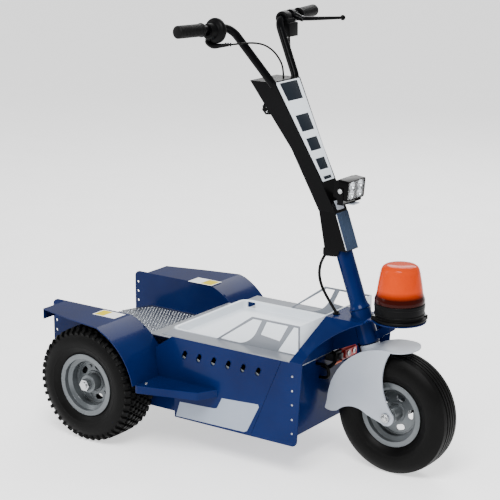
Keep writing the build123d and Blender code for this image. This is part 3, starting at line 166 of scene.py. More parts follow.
# %% [markdown]
# ## Shared surface effects
# Paint, plastic and metal all need small irregularities. Each effect is one node group with
# named inputs, so that every material can use it with values of its own.

# %% Group helpers


def plug(tree, value, socket):
    """Links a socket, or sets a plain value."""
    if isinstance(value, bpy.types.NodeSocket):
        tree.links.new(value, socket)
    elif isinstance(value, (tuple, list)) and len(value) == 3 and socket.type == "RGBA":
        socket.default_value = (*value, 1)
    else:
        socket.default_value = value


def add_node(tree, kind, settings=None, **inputs):
    """Adds a node; inputs are matched to the socket names, with spaces written as underscores."""
    made = tree.nodes.new(kind)
    for key, value in (settings or {}).items():
        setattr(made, key, value)
    for key, value in inputs.items():
        plug(tree, value, made.inputs[key.replace("_", " ")])
    return made


def arithmetic(tree, operation, a, b, clamp=False):
    """One arithmetic node."""
    made = tree.nodes.new("ShaderNodeMath")
    made.operation = operation
    made.use_clamp = clamp
    plug(tree, a, made.inputs[0])
    plug(tree, b, made.inputs[1])
    return made.outputs[0]


def times(tree, a, b):
    """The product of two values."""
    return arithmetic(tree, "MULTIPLY", a, b)


def spread(tree, value, low, high, to_low=0.0, to_high=1.0):
    """Maps a range of values to another one."""
    made = tree.nodes.new("ShaderNodeMapRange")
    for index, number in enumerate((value, low, high, to_low, to_high)):
        plug(tree, number, made.inputs[index])
    return made.outputs[0]


def blend_of(tree, factor, first, second):
    """Mixes two colours."""
    made = tree.nodes.new("ShaderNodeMix")
    made.data_type = "RGBA"
    plug(tree, factor, made.inputs[0])
    plug(tree, first, made.inputs[6])
    plug(tree, second, made.inputs[7])
    return made.outputs[2]


def add_socket(tree, label, kind="Float", way="INPUT", value=None):
    """Gives a group a named socket."""
    socket = tree.interface.new_socket(name=label, in_out=way, socket_type="NodeSocket" + kind)
    if value is not None:
        socket.default_value = value


def shader_group(name, inputs, outputs):
    """An empty shader group with named sockets."""
    tree = bpy.data.node_groups.new(name, "ShaderNodeTree")
    for label, value in inputs:
        add_socket(tree, label, value=value)
    for label in outputs:
        add_socket(tree, label, "Vector" if label == "Normal" else "Float", "OUTPUT")
    return tree, tree.nodes.new("NodeGroupInput").outputs, tree.nodes.new("NodeGroupOutput").inputs


def place_of(tree):
    """The piece's own coordinates in metres."""
    return tree.nodes.new("ShaderNodeTexCoord").outputs["Object"]


def low_down(tree, given):
    """One below the first given height, falling to nothing at the second."""
    parts = add_node(tree, "ShaderNodeSeparateXYZ", Vector=place_of(tree))
    return spread(tree, parts.outputs[2], given["Full Below"], given["None Above"], 1.0, 0.0)

# %% [markdown]
# ### Skin, brushed lines, settled dust and soft edges
# Powder coat has a faint orange peel, drawn metal has long fine lines, dust gathers low down,
# and every bent sheet has a small radius at its edges that catches the light. The same edge mask
# lets a finish paint a lighter colour along its edges, a painted highlight.

# %% Shared groups
skin, given, leave = shader_group("coat_skin", [("Fine", 700.0), ("Cloud", 6.0)], ["Height", "Tone"])
fine = add_node(skin, "ShaderNodeTexNoise", Vector=place_of(skin), Scale=given["Fine"], Detail=2.0)
cloud = add_node(skin, "ShaderNodeTexNoise", Vector=place_of(skin), Scale=given["Cloud"], Detail=4.0)
plug(skin, fine.outputs[0], leave["Height"])
plug(skin, spread(skin, cloud.outputs[0], 0.35, 0.65), leave["Tone"])

lines, given, leave = shader_group(
    "drawn_lines", [("Along X", 4.0), ("Along Y", 400.0), ("Along Z", 400.0)], ["Height", "Tone"]
)
stretch = lines.nodes.new("ShaderNodeCombineXYZ")
for index, label in enumerate(("Along X", "Along Y", "Along Z")):
    plug(lines, given[label], stretch.inputs[index])
product = add_node(lines, "ShaderNodeVectorMath", {"operation": "MULTIPLY"})
plug(lines, place_of(lines), product.inputs[0])
plug(lines, stretch.outputs[0], product.inputs[1])
drawn = add_node(lines, "ShaderNodeTexNoise", Vector=product.outputs[0], Scale=1.0, Detail=3.0)
plug(lines, drawn.outputs[0], leave["Height"])
plug(lines, spread(lines, drawn.outputs[0], 0.3, 0.7), leave["Tone"])

dust, given, leave = shader_group("settled_dust", [("Full Below", 0.02), ("None Above", 0.3)], ["Mask"])
patch = add_node(dust, "ShaderNodeTexNoise", Vector=place_of(dust), Scale=22.0, Detail=5.0)
plug(dust, times(dust, low_down(dust, given), spread(dust, patch.outputs[0], 0.42, 0.7)), leave["Mask"])

band, given, leave = shader_group("height_band", [("Full Below", 0.0), ("None Above", 0.1)], ["Mask"])
plug(band, low_down(band, given), leave["Mask"])

edge, given, leave = shader_group("soft_edges", [("Radius", 0.0015)], ["Mask", "Normal"])
bevel = add_node(edge, "ShaderNodeBevel", {"samples": 4}, Radius=given["Radius"])
flat = edge.nodes.new("ShaderNodeNewGeometry").outputs["Normal"]
likeness = add_node(edge, "ShaderNodeVectorMath", {"operation": "DOT_PRODUCT"})
plug(edge, bevel.outputs[0], likeness.inputs[0])
plug(edge, flat, likeness.inputs[1])
plug(edge, spread(edge, likeness.outputs["Value"], 0.98, 0.75), leave["Mask"])
plug(edge, bevel.outputs[0], leave["Normal"])
print("shared groups", [g.name for g in (skin, lines, dust, band, edge)])

# %% [markdown]
# ## Finishes
# One builder makes every finish from the shared groups. What is the same all over a surface,
# such as the clear coat, is set on the shader itself.

# %% Finish builder
DUST = (0.32, 0.30, 0.27)


def use_group(tree, group, **inputs):
    """Places a shared group in a material."""
    made = tree.nodes.new("ShaderNodeGroup")
    made.node_tree = group
    for key, value in inputs.items():
        made.inputs[key.replace("_", " ")].default_value = value
    return made.outputs


def finish(
    name, colour, tone, roughness, metallic=0.0, fine=700.0, cloud=6.0, depth=0.1, grain=0.0002,
    drawn=None, dusty=0.0, edge_highlight=None, low_part=None, radius=0.0012, **shader_values
):
    """A material with a varying colour and roughness, fine relief, dust, and soft edges with a painted
    highlight.
    """
    material = bpy.data.materials.new(name)
    material.use_nodes = True
    tree = material.node_tree
    shader = tree.nodes["Principled BSDF"]
    if drawn:
        surface = use_group(tree, lines, Along_X=drawn[0], Along_Y=drawn[1], Along_Z=drawn[2])
    else:
        surface = use_group(tree, skin, Fine=fine, Cloud=cloud)
    edges = use_group(tree, edge, Radius=radius) if radius else None
    shade = blend_of(tree, surface["Tone"], colour, tone)
    rough = spread(tree, surface["Tone"], 0.0, 1.0, roughness[0], roughness[1])
    # Painted highlight: a lighter colour is mixed in where the bevel mask finds an edge.
    if edge_highlight and edges:
        shade = blend_of(tree, times(tree, edges["Mask"], edge_highlight[1]), shade, edge_highlight[0])
    if low_part:
        below = use_group(tree, band, Full_Below=low_part[1], None_Above=low_part[2])["Mask"]
        shade = blend_of(tree, below, shade, low_part[0])
    if dusty:
        film = times(tree, use_group(tree, dust)["Mask"], dusty)
        shade = blend_of(tree, film, shade, DUST)
        rough = arithmetic(tree, "ADD", rough, times(tree, film, 0.4), clamp=True)
    relief = add_node(tree, "ShaderNodeBump", Strength=depth, Distance=grain, Height=surface["Height"])
    if edges:
        plug(tree, edges["Normal"], relief.inputs["Normal"])
    for value, label in ((shade, "Base Color"), (rough, "Roughness"), (relief.outputs[0], "Normal")):
        plug(tree, value, shader.inputs[label])
    shader.inputs["Metallic"].default_value = metallic
    for label, value in shader_values.items():
        plug(tree, value, shader.inputs[label.replace("_", " ")])
    return material

# %% [markdown]
# ### Finishes of the tug
# The body is blue powder coat, the frame grey enamel, the tray white enamel, and most small parts
# are black plastic or rubber. Painted pictures would stretch; a few values for each finish don't.

# %% Finishes of the tug
# Each edge colour below is a painted highlight along that finish's edges; the number after it is how much
# shows.
EDGE_HIGHLIGHT_BLUE = (0.010, 0.035, 0.16)
FINISHES = {
    "body_blue": finish(
        "blue_powder_coat", (0.0006, 0.0062, 0.047), (0.0010, 0.0092, 0.062), (0.16, 0.24), depth=0.12,
        edge_highlight=(EDGE_HIGHLIGHT_BLUE, 0.25), radius=0.0008, Coat_Weight=0.08, Coat_Roughness=0.08,
        Specular_IOR_Level=0.05,
    ),
    "frame_grey": finish(
        "light_grey_enamel", (0.31, 0.34, 0.39), (0.36, 0.39, 0.44), (0.32, 0.42), depth=0.14,
        dusty=0.05, edge_highlight=((0.60, 0.62, 0.66), 0.4), Coat_Weight=0.12, Coat_Roughness=0.15,
    ),
    "tray_white": finish(
        "white_tray_enamel", (0.66, 0.72, 0.78), (0.74, 0.79, 0.84), (0.28, 0.38),
        edge_highlight=((0.9, 0.92, 0.94), 0.3), Coat_Weight=0.1, Coat_Roughness=0.2,
    ),
    "deck_aluminium": finish(
        "deck_aluminium_sheet", (0.34, 0.36, 0.39), (0.46, 0.48, 0.51), (0.24, 0.36), 1.0,
        drawn=(5.0, 320.0, 320.0), depth=0.12, dusty=0.05,
    ),
    "bare_steel": finish(
        "bare_machined_steel", (0.34, 0.35, 0.36), (0.48, 0.49, 0.50), (0.22, 0.38), 1.0,
        drawn=(260.0, 9.0, 260.0), depth=0.12,
    ),
    "black_paint": finish(
        "black_satin_paint", (0.0008, 0.0008, 0.0010), (0.0016, 0.0016, 0.0020), (0.16, 0.26), depth=0.12,
        edge_highlight=((0.010, 0.010, 0.012), 0.5), radius=0.0008, Specular_IOR_Level=0.05,
    ),
    "black_plastic": finish(
        "black_moulded_plastic", (0.0010, 0.0010, 0.0012), (0.0022, 0.0022, 0.0025), (0.34, 0.46),
        fine=1400.0, depth=0.3, edge_highlight=((0.008, 0.008, 0.009), 0.4), Specular_IOR_Level=0.06,
    ),
    "slate_sleeve": finish(
        "slate_blue_enamel", (0.016, 0.030, 0.060), (0.026, 0.045, 0.085), (0.20, 0.32), depth=0.14,
        edge_highlight=((0.10, 0.14, 0.20), 0.4), Coat_Weight=0.05, Specular_IOR_Level=0.10,
    ),
    "rim_silver": finish(
        "silver_rim_paint", (0.080, 0.090, 0.097), (0.115, 0.125, 0.132), (0.24, 0.36), 0.45, fine=1800.0,
        dusty=0.04, edge_highlight=((0.34, 0.36, 0.38), 0.5), Specular_IOR_Level=0.3,
    ),
    "tyre_rubber": finish(
        "tyre_rubber", (0.0016, 0.0016, 0.0016), (0.0032, 0.0032, 0.0032), (0.42, 0.56), fine=900.0,
        cloud=9.0, depth=0.35, grain=0.0004, radius=0.0010, Specular_IOR_Level=0.07,
    ),
    "grip_rubber": finish(
        "grip_rubber", (0.0012, 0.0012, 0.0013), (0.0024, 0.0024, 0.0026), (0.36, 0.5), fine=1500.0,
        depth=0.4, Specular_IOR_Level=0.08,
    ),
    "amber_lens": finish(
        "amber_lens_plastic", (0.50, 0.034, 0.0), (0.58, 0.046, 0.0), (0.08, 0.14), fine=300.0, depth=0.02,
        radius=0.0, low_part=((0.022, 0.0012, 0.0002), 0.490, 0.510), Transmission_Weight=0.10, IOR=1.40,
        Specular_IOR_Level=0.08,
    ),
    "lamp_glass": finish(
        "lamp_glass", (0.86, 0.89, 0.92), (0.92, 0.94, 0.96), (0.02, 0.06), fine=200.0, depth=0.01,
        radius=0.0, Transmission_Weight=0.95, IOR=1.2,
    ),
    "battery_case": finish(
        "battery_case_plastic", (0.01, 0.01, 0.011), (0.02, 0.02, 0.022), (0.45, 0.6), fine=1200.0, depth=0.3,
    ),
    "connector_red": finish(
        "red_connector_plastic", (0.42, 0.006, 0.006), (0.52, 0.012, 0.010), (0.35, 0.5), fine=1200.0,
        depth=0.2,
    ),
    "cable_sheath": finish(
        "cable_sheath_rubber", (0.0012, 0.0012, 0.0012), (0.0025, 0.0025, 0.0025), (0.34, 0.48),
        fine=1300.0, depth=0.3, radius=0.0, Specular_IOR_Level=0.08,
    ),
}
guard_look = finish(
    "grey_guard_enamel", (0.155, 0.170, 0.195), (0.185, 0.200, 0.225), (0.34, 0.44), depth=0.12,
    edge_highlight=((0.36, 0.38, 0.42), 0.4), Specular_IOR_Level=0.3,
)
slot_of = {row["node"]: row["material_slot"] for row in frame["record"]["subparts"]}
for node_name, part in frame["nodes"].items():
    look = guard_look if node_name == "tray_guards" else FINISHES[slot_of[node_name]]
    part.data.materials.clear()
    part.data.materials.append(look)
for cable in (main_cable, control_cable):
    cable.data.materials.append(FINISHES["cable_sheath"])
print("finishes", len(FINISHES), "on", len(slot_of), "solids")

# %% [markdown]
# ## Making pieces
# Every added piece is a plain mesh in the model's own frame. These helpers turn profiles, outlines
# and boxes into closed meshes with outward normals, and put each piece on the body it moves with.

# %% Piece helpers
TOUCHING = 1e-6
NO_LENGTH = 1e-7
SHARP_FROM = radians(30)


def closed(name, shell, width=0.0, segments=2):
    """Finishes a bmesh: rounds its sharp edges, closes its seams and turns its faces outward."""
    bmesh.ops.remove_doubles(shell, verts=shell.verts, dist=TOUCHING)
    if width:
        sharp = [e for e in shell.edges if len(e.link_faces) == 2 and e.calc_face_angle() > SHARP_FROM]
        bmesh.ops.bevel(
            shell, geom=sharp, offset=width / 1000, offset_type="OFFSET", segments=segments,
            affect="EDGES", profile=0.5, clamp_overlap=True,
        )
    bmesh.ops.dissolve_degenerate(shell, dist=NO_LENGTH, edges=shell.edges)
    bmesh.ops.recalc_face_normals(shell, faces=shell.faces)
    mesh = bpy.data.meshes.new(name)
    shell.to_mesh(mesh)
    shell.free()
    return mesh


def keep(name, mesh, slot, body, smooth=35, stands_for=(), look=None):
    """Makes a mesh a piece of the tug, smooth below an angle, with the slot's finish or a look, on its body.
    """
    mesh.shade_smooth()
    mesh.set_sharp_from_angle(angle=radians(smooth))
    piece = place_object(name, mesh)
    mesh.materials.clear()
    mesh.materials.append(look or FINISHES[slot])
    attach(piece, body)
    if stands_for:
        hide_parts(*stands_for)
    print(name, len(mesh.polygons), "faces on", body)


def solid(name, slot, body, forms, width=0.0, segments=2, **kept):
    """Makes one piece of forms; each row is a helper from below and what that is given."""
    shell = bmesh.new()
    for form, *given in forms:
        form(shell, *given)
    keep(name, closed(name, shell, width, segments), slot, body, **kept)

# %% [markdown]
# ### Forms
# Most parts of the tug are turned, bent or cut from plate. A lathe makes the round ones, a prism
# the plates and a block the boxes. All of them only add points and faces, so that they can be joined.

# %% Forms


def bridge(shell, loops, capped=False, again=False, spans=None):
    """Joins loops of points by faces; capped fills both ends, again joins the last to the first."""
    rings = [[shell.verts.new(p) for p in loop] for loop in loops]
    count = len(rings[0])
    for ring, after in zip(rings, rings[1:] + (rings[:1] if again else [])):
        for j in range(spans or count):
            k = (j + 1) % count
            if max((ring[j].co - ring[k].co).length, (after[j].co - after[k].co).length) > NO_LENGTH:
                shell.faces.new((ring[j], ring[k], after[k], after[j]))
    if capped:
        shell.faces.new(rings[0][::-1])
        shell.faces.new(rings[-1])


def lathe(shell, profile, centre, axis, steps=64, whole=True):
    """Spins a profile of (out, along) in millimetres round an axis; a whole profile is a closed loop."""
    axis = axis.normalized()
    side = axis.orthogonal().normalized()
    loops = []
    for step in range(steps):
        out = Matrix.Rotation(tau * step / steps, 3, axis) @ side
        loops.append([centre + (out * r + axis * a) / 1000 for r, a in profile])
    bridge(shell, loops, again=True, spans=len(profile) if whole else len(profile) - 1)


def prism(shell, outline, depth):
    """A solid between an outline of points and the same outline moved by a vector."""
    near = [shell.verts.new(p) for p in outline]
    far = [shell.verts.new(p + depth) for p in outline]
    shell.faces.new(near)
    shell.faces.new(far[::-1])
    for j in range(len(near)):
        k = (j + 1) % len(near)
        shell.faces.new((near[j], far[j], far[k], near[k]))


def block(shell, centre, size, turn=None):
    """A box about a centre, its size in millimetres, turned by a rotation if one is given."""
    turn = turn or Matrix.Identity(3)
    half = Vector(size) / 2000
    low = [Vector((x * half.x, y * half.y, -half.z)) for x, y in ((-1, -1), (1, -1), (1, 1), (-1, 1))]
    prism(shell, [centre + turn @ p for p in low], turn @ Vector((0, 0, 2 * half.z)))


def rod(shell, start, end, radius, sides=20, taper=1.0):
    """A round rod between two points."""
    span = end - start
    profile = [(0, 0), (radius, 0), (radius * taper, span.length * 1000), (0, span.length * 1000)]
    lathe(shell, profile, start, span, sides, whole=False)

# %% [markdown]
# ### Outlines
# Round corners of pressed sheet and of tyres are parts of circles, so a few functions give them all.

# %% Outlines


def arc(x, y, radius, start, sweep, count):
    """Points (x, y) on part of a circle, from a start angle over a sweep."""
    turns = [start + sweep * step / count for step in range(count + 1)]
    return [(x + radius * cos(turn), y + radius * sin(turn)) for turn in turns]


def rounded_box(x0, x1, y0, y1, radius, count):
    """The outline of a rectangle with round corners."""
    left, right, low, high = x0 + radius, x1 - radius, y0 + radius, y1 - radius
    corners = enumerate(((right, high), (left, high), (left, low), (right, low)))
    return [p for index, (x, y) in corners for p in arc(x, y, radius, index * pi / 2, pi / 2, count)]


def arc_points(start, middle, end, count):
    """Points on the circle through three points of a plane."""
    (ax, ay), (bx, by), (cx, cy) = start, middle, end
    double = 2 * (ax * (by - cy) + bx * (cy - ay) + cx * (ay - by))
    sa, sb, sc = ax * ax + ay * ay, bx * bx + by * by, cx * cx + cy * cy
    ox = (sa * (by - cy) + sb * (cy - ay) + sc * (ay - by)) / double
    oy = (sa * (cx - bx) + sb * (ax - cx) + sc * (bx - ax)) / double
    radius = sqrt((ax - ox) ** 2 + (ay - oy) ** 2)
    first, half_way, last = (atan2(y - oy, x - ox) for x, y in (start, middle, end))
    turn = (last - first) % tau
    if (half_way - first) % tau > turn:
        turn -= tau
    return arc(ox, oy, radius, first, turn, count)

# %% [markdown]
# ## Repeated small parts
# Screws, studs, tread blocks and fins are the same shape placed many times. A Geometry Nodes tree
# stands one shape on each point of a carrier mesh, turned by two stored directions.

# %% Trees for repeated parts


def carrier(rows):
    """A mesh of loose points with the directions that a shape on them faces and runs along."""
    mesh = bpy.data.meshes.new("carrier")
    mesh.from_pydata([tuple(place) for place, facing, along in rows], [], [])
    for index, label in ((1, "facing"), (2, "along")):
        stored = mesh.attributes.new(label, "FLOAT_VECTOR", "POINT")
        stored.data.foreach_set("vector", [v for row in rows for v in row[index]])
    return mesh


def placing_tree(name, shape, **sizes):
    """A tree with named sizes that stands a shape on every point it is given."""
    tree = bpy.data.node_groups.new(name, "GeometryNodeTree")
    add_socket(tree, "Points", "Geometry")
    for label, value in sizes.items():
        add_socket(tree, label.replace("_", " "), "Int" if isinstance(value, int) else "Float", value=value)
    add_socket(tree, "Finish", "Material")
    add_socket(tree, "Parts", "Geometry", "OUTPUT")
    given = tree.nodes.new("NodeGroupInput").outputs
    leave = tree.nodes.new("NodeGroupOutput").inputs
    turn = add_node(tree, "FunctionNodeAxesToRotation", {"primary_axis": "Z", "secondary_axis": "X"})
    for index, label in enumerate(("facing", "along")):
        stored = add_node(tree, "GeometryNodeInputNamedAttribute", {"data_type": "FLOAT_VECTOR"})
        stored.inputs["Name"].default_value = label
        plug(tree, next(o for o in stored.outputs if o.enabled and o.name == "Attribute"), turn.inputs[index])
    placed = add_node(
        tree, "GeometryNodeInstanceOnPoints", Points=given["Points"], Instance=shape(tree, given),
        Rotation=turn.outputs[0],
    )
    real = add_node(tree, "GeometryNodeRealizeInstances", Geometry=placed.outputs[0])
    coated = add_node(tree, "GeometryNodeSetMaterial", Geometry=real.outputs[0], Material=given["Finish"])
    plug(tree, coated.outputs[0], leave["Parts"])
    return tree


def grow(name, tree, rows, slot, body, **sizes):
    """Runs a tree on points and keeps the result as a plain mesh."""
    seed = place_object(name + "_points", carrier(rows))
    modifier = seed.modifiers.new("parts", "NODES")
    modifier.node_group = tree
    wanted = {key.replace("_", " "): value for key, value in sizes.items()}
    wanted["Finish"] = FINISHES[slot]
    for socket in tree.interface.items_tree:
        if socket.in_out == "INPUT" and socket.name in wanted:
            modifier[socket.identifier] = wanted[socket.name]
    mesh = evaluated_mesh(seed)
    bpy.data.objects.remove(seed)
    keep(name, mesh, slot, body)


def heads(name, rows, body, radius, height, sides, slot="bare_steel"):
    """Fastener heads of one size, in metres."""
    grow(name, HEADS, rows, slot, body, Radius=radius, Height=height, Sides=sides)

# %% [markdown]
# ### Shapes for the trees
# A fastener head is three frustums, a stud is one, and a bar is a cube that narrows upward. Each is
# made of nodes, so that its sizes stay inputs that every use can set.

# %% Shapes for the trees


def cone_shape(tree, sides, low, high, tall):
    """A frustum that stands on its origin."""
    made = tree.nodes.new("GeometryNodeMeshCone")
    for label, value in (("Vertices", sides), ("Radius Bottom", low), ("Radius Top", high), ("Depth", tall)):
        plug(tree, value, made.inputs[label])
    return made.outputs["Mesh"]


def raised(tree, shape, height):
    """A shape moved up along its own axis."""
    lift = tree.nodes.new("ShaderNodeCombineXYZ")
    plug(tree, height, lift.inputs[2])
    return add_node(tree, "GeometryNodeTransform", Geometry=shape, Translation=lift.outputs[0]).outputs[0]


def head_shape(tree, given):
    """A fastener head: a washer, a straight part and a chamfered top."""
    radius, tall = given["Radius"], given["Height"]
    wide, narrow, thin = times(tree, radius, 1.35), times(tree, radius, 1.3), times(tree, tall, 0.22)
    washer = cone_shape(tree, 20, wide, narrow, thin)
    straight = cone_shape(tree, given["Sides"], radius, radius, times(tree, tall, 0.8))
    top = cone_shape(tree, given["Sides"], radius, times(tree, radius, 0.78), times(tree, tall, 0.2))
    joined = tree.nodes.new("GeometryNodeJoinGeometry")
    for form in (washer, straight, raised(tree, top, times(tree, tall, 0.8))):
        tree.links.new(form, joined.inputs[0])
    return joined.outputs[0]


def stud_shape(tree, given):
    """A low round stud."""
    top_radius = times(tree, given["Radius"], given["Top Share"])
    return cone_shape(tree, given["Sides"], given["Radius"], top_radius, given["Height"])


def bar_shape(tree, given):
    """A block that stands on its origin and narrows towards its top."""
    cube = tree.nodes.new("GeometryNodeMeshCube")
    place = tree.nodes.new("GeometryNodeInputPosition")
    parts_of = add_node(tree, "ShaderNodeSeparateXYZ")
    plug(tree, place.outputs[0], parts_of.inputs[0])
    height_share = arithmetic(tree, "ADD", parts_of.outputs[2], 0.5)
    share = spread(tree, height_share, 0.0, 1.0, 1.0, given["Top Share"])
    shaped = tree.nodes.new("ShaderNodeCombineXYZ")
    for index, label in enumerate(("Length", "Width")):
        wide = times(tree, parts_of.outputs[index], given[label])
        plug(tree, times(tree, wide, share), shaped.inputs[index])
    plug(tree, times(tree, height_share, given["Height"]), shaped.inputs[2])
    moved = add_node(tree, "GeometryNodeSetPosition", Geometry=cube.outputs["Mesh"])
    plug(tree, shaped.outputs[0], moved.inputs["Position"])
    return moved.outputs[0]


HEADS = placing_tree("fastener_heads", head_shape, Radius=0.005, Height=0.003, Sides=6)
STUDS = placing_tree("round_studs", stud_shape, Radius=0.003, Height=0.001, Top_Share=0.6, Sides=8)
BARS = placing_tree("tapered_bars", bar_shape, Length=0.01, Width=0.01, Height=0.005, Top_Share=0.8)
print("trees", HEADS.name, STUDS.name, BARS.name)

# %% [markdown]
# ## Tyres
# The rear tyres carry rows of rubber blocks and the front one has running ribs. The carcass is one
# turned profile, because a tyre is the same all the way round; the blocks are placed by a tree.

# %% Tyre carcasses
TYRE_RADIUS = 165
TREAD_DEPTH = 6.5
BEAD_FOOT = 78.8
BEAD_TOP = 91
CROWN_ROUND = 1.8
SHOULDER_SET = 9
REAR_WIDTH = 125
GROOVE = ((3.2, 0), (2.0, 0.8), (1.6, 5.4), (-1.6, 5.4), (-2.0, 0.8), (-3.2, 0))


def tyre_profile(width, rim_width, crown_drop, grooves=0):
    """The closed section of a tyre as (out, across), from its bead over the crown and back inside."""
    bead = rim_width / 2 - 3.3
    bulge = (BEAD_TOP + TYRE_RADIUS) / 2 - 4
    shoulder = width / 2 - SHOULDER_SET
    crown = TYRE_RADIUS - crown_drop
    shoulder_out = TYRE_RADIUS - 9 - crown_drop * 0.6
    side = arc_points((bead, BEAD_TOP), (width / 2, bulge), (shoulder, shoulder_out), 12)
    half = [(bead, BEAD_FOOT)] + side
    ridge = half[5][0] + 0.9
    half[5:6] = [half[5], (ridge, half[5][1] + 1.2), (ridge, half[5][1] + 3.2)]
    half += [(shoulder - 5, crown - 2.6), (shoulder - 9, crown - 1.8)]
    pitch = 2 * (shoulder - 9) / (grooves + 1)
    marks = [(shoulder * 0.5, 0), (0, 0), (-shoulder * 0.5, 0)]
    if grooves:
        middles = [pitch * ((grooves - 1) / 2 - index) for index in range(grooves)]
        marks = [(middle + offset, drop) for middle in middles for offset, drop in GROOVE]
    tread = [(across, crown - CROWN_ROUND * (across / shoulder) ** 2 - drop) for across, drop in marks]
    outer = half + tread + [(-a, r) for a, r in reversed(half)]
    wall = [
        (bead - 8, BEAD_FOOT), (bead - 8, BEAD_TOP + 2), (width / 2 - 7, bulge), (shoulder - 8, crown - 13),
    ]
    inner = [(-a, r) for a, r in wall] + [(0, crown - 11.5)] + list(reversed(wall))
    return [(r, a) for a, r in outer + inner]


REAR_HUBS = {"right": at(0, -REAR_WHEEL_Y, WHEEL_Z), "left": at(0, REAR_WHEEL_Y, WHEEL_Z)}
FRONT_HUB = at(FRONT_WHEEL_X, 0, WHEEL_Z)
for side_name, hub in REAR_HUBS.items():
    solid(
        "rear_tyre_carcass_" + side_name, "tyre_rubber", "rear_%s_wheel" % side_name,
        [(lathe, tyre_profile(REAR_WIDTH, 104, TREAD_DEPTH), hub, LEFT, 96)], smooth=28,
        stands_for=["rear_tyre_" + side_name],
    )
ribbed = (lathe, tyre_profile(94, 66, 0, 4), FRONT_HUB, LEFT, 120)
solid("front_tyre_ribbed", "tyre_rubber", "front_wheel", [ribbed], smooth=28, stands_for=["front_tyre"])

# %% [markdown]
# ### Tread blocks
# Five rows of small blocks cross the crown, staggered by half a pitch, and a row of longer bars
# runs down each shoulder, as on a turf tyre.

# %% Tread blocks
BLOCK_ROWS = ((0, 0.0), (17, 0.5), (-17, 0.5), (33, 0.0), (-33, 0.0))
BLOCK_COUNT = 46
BLOCK_SINK = 0.8
BAR_OUT, BAR_ACROSS, BAR_LEAN = 151.2, 49.6, radians(38)
REAR_SHOULDER = REAR_WIDTH / 2 - SHOULDER_SET


def around(centre, radius, across, turn, lean=0.0):
    """A point on a wheel with the directions outward and along its rim; lean tips it outward."""
    out = Vector((cos(turn), 0, sin(turn)))
    facing = (out * cos(lean) + LEFT * sin(lean)).normalized()
    return centre + (out * radius + LEFT * across) / 1000, facing, out.cross(LEFT)


for side_name, hub in REAR_HUBS.items():
    body = "rear_%s_wheel" % side_name
    rows = []
    for across, phase in BLOCK_ROWS:
        height_at = TYRE_RADIUS - TREAD_DEPTH - CROWN_ROUND * (across / REAR_SHOULDER) ** 2 - BLOCK_SINK
        rows += [
            around(hub, height_at, across, tau * (i + phase) / BLOCK_COUNT) for i in range(BLOCK_COUNT)
        ]
    grow(
        "tread_blocks_" + side_name, BARS, rows, "tyre_rubber", body,
        Length=0.0135, Width=0.0125, Height=0.0071, Top_Share=0.78,
    )
    bars = [
        around(hub, BAR_OUT, sign * BAR_ACROSS, tau * (i + 0.5) / BLOCK_COUNT, sign * BAR_LEAN)
        for sign in BOTH for i in range(BLOCK_COUNT)
    ]
    grow(
        "shoulder_bars_" + side_name, BARS, bars, "tyre_rubber", body,
        Length=0.0105, Width=0.020, Height=0.0088, Top_Share=0.74,
    )

# %% [markdown]
# ## Rims
# The pressed rims get a rolled lip at each flange, two pressed rings on the disc, wheel bolts and
# a valve, which the plain turned solid leaves out.

# %% Rim details
RIMS = (
    ("rear_right_wheel", REAR_HUBS["right"], 50.5, -8, 24, -1),
    ("rear_left_wheel", REAR_HUBS["left"], 50.5, 8, 24, 1),
    ("front_wheel", FRONT_HUB, 31.5, 0, 20, -1),
)
LIP_RADIUS, LIP_ROUND = 87.6, 2.1
BOLT_CIRCLE, BOLT_COUNT = 45, 5
HUB_COLLAR = ((-0.5, 41), (1.5, 40), (1.5, 34), (-0.5, 33))
for body, hub, flange_at, disc_at, hub_radius, outward in RIMS:
    forms = []
    for flange in (-flange_at, flange_at):
        ring = arc(LIP_RADIUS, flange, LIP_ROUND, 0, tau, 10)[:-1]
        forms.append((lathe, ring, hub, LEFT, 72))
    for face in BOTH:
        level = disc_at + face * 2
        for ridge, tall in ((60, 1.6), (hub_radius + 5, 2.6)):
            low, high = level - face * 0.5, level + face * tall
            section = [(ridge - 3, low), (ridge - 1.5, high), (ridge + 1.5, high), (ridge + 3, low)]
            forms.append((lathe, section, hub, LEFT, 64))
        collar = [(hub_radius + r, face * a) for r, a in HUB_COLLAR]
        forms.append((lathe, collar, hub, LEFT, 48))
    solid(body + "_rim_rings", "rim_silver", body, forms)
    if body != "front_wheel":
        bolts = []
        for index in range(BOLT_COUNT):
            turn = tau * (index + 0.5) / BOLT_COUNT
            place, out, along = around(hub, BOLT_CIRCLE, disc_at + outward * 2, turn)
            bolts.append((place, LEFT * outward, along))
        heads(body + "_bolts", bolts, body, 0.0045, 0.004, 6, "rim_silver")
    foot = hub + Vector((0.058, 0, 0.02)) + LEFT * outward * 0.004
    stem = (rod, foot, foot + Vector((0.006, outward * 0.030, 0.002)), 3.4, 14, 0.8)
    solid(body + "_valve", "black_plastic", body, [stem])

# %% [markdown]
# ## Deck
# The deck is aluminium sheet with staggered rows of small pressed rings, each with a hole in it,
# which is a black disc of painted shade. A hexagonal grid inside the sheet's outline gives their places.

# %% Deck pattern
DECK_TOP = 248
DECK_OUTLINE = ((-200, 90), (-158, 176), (112, 176), (112, -176), (-158, -176), (-200, -90))
PITCH = 10.5


def inside(x, y, outline):
    """Whether a point lies inside a convex outline."""
    turns = []
    for (ax, ay), (bx, by) in zip(outline, outline[1:] + outline[:1]):
        turns.append((bx - ax) * (y - ay) - (by - ay) * (x - ax))
    return all(t < 0 for t in turns) or all(t > 0 for t in turns)


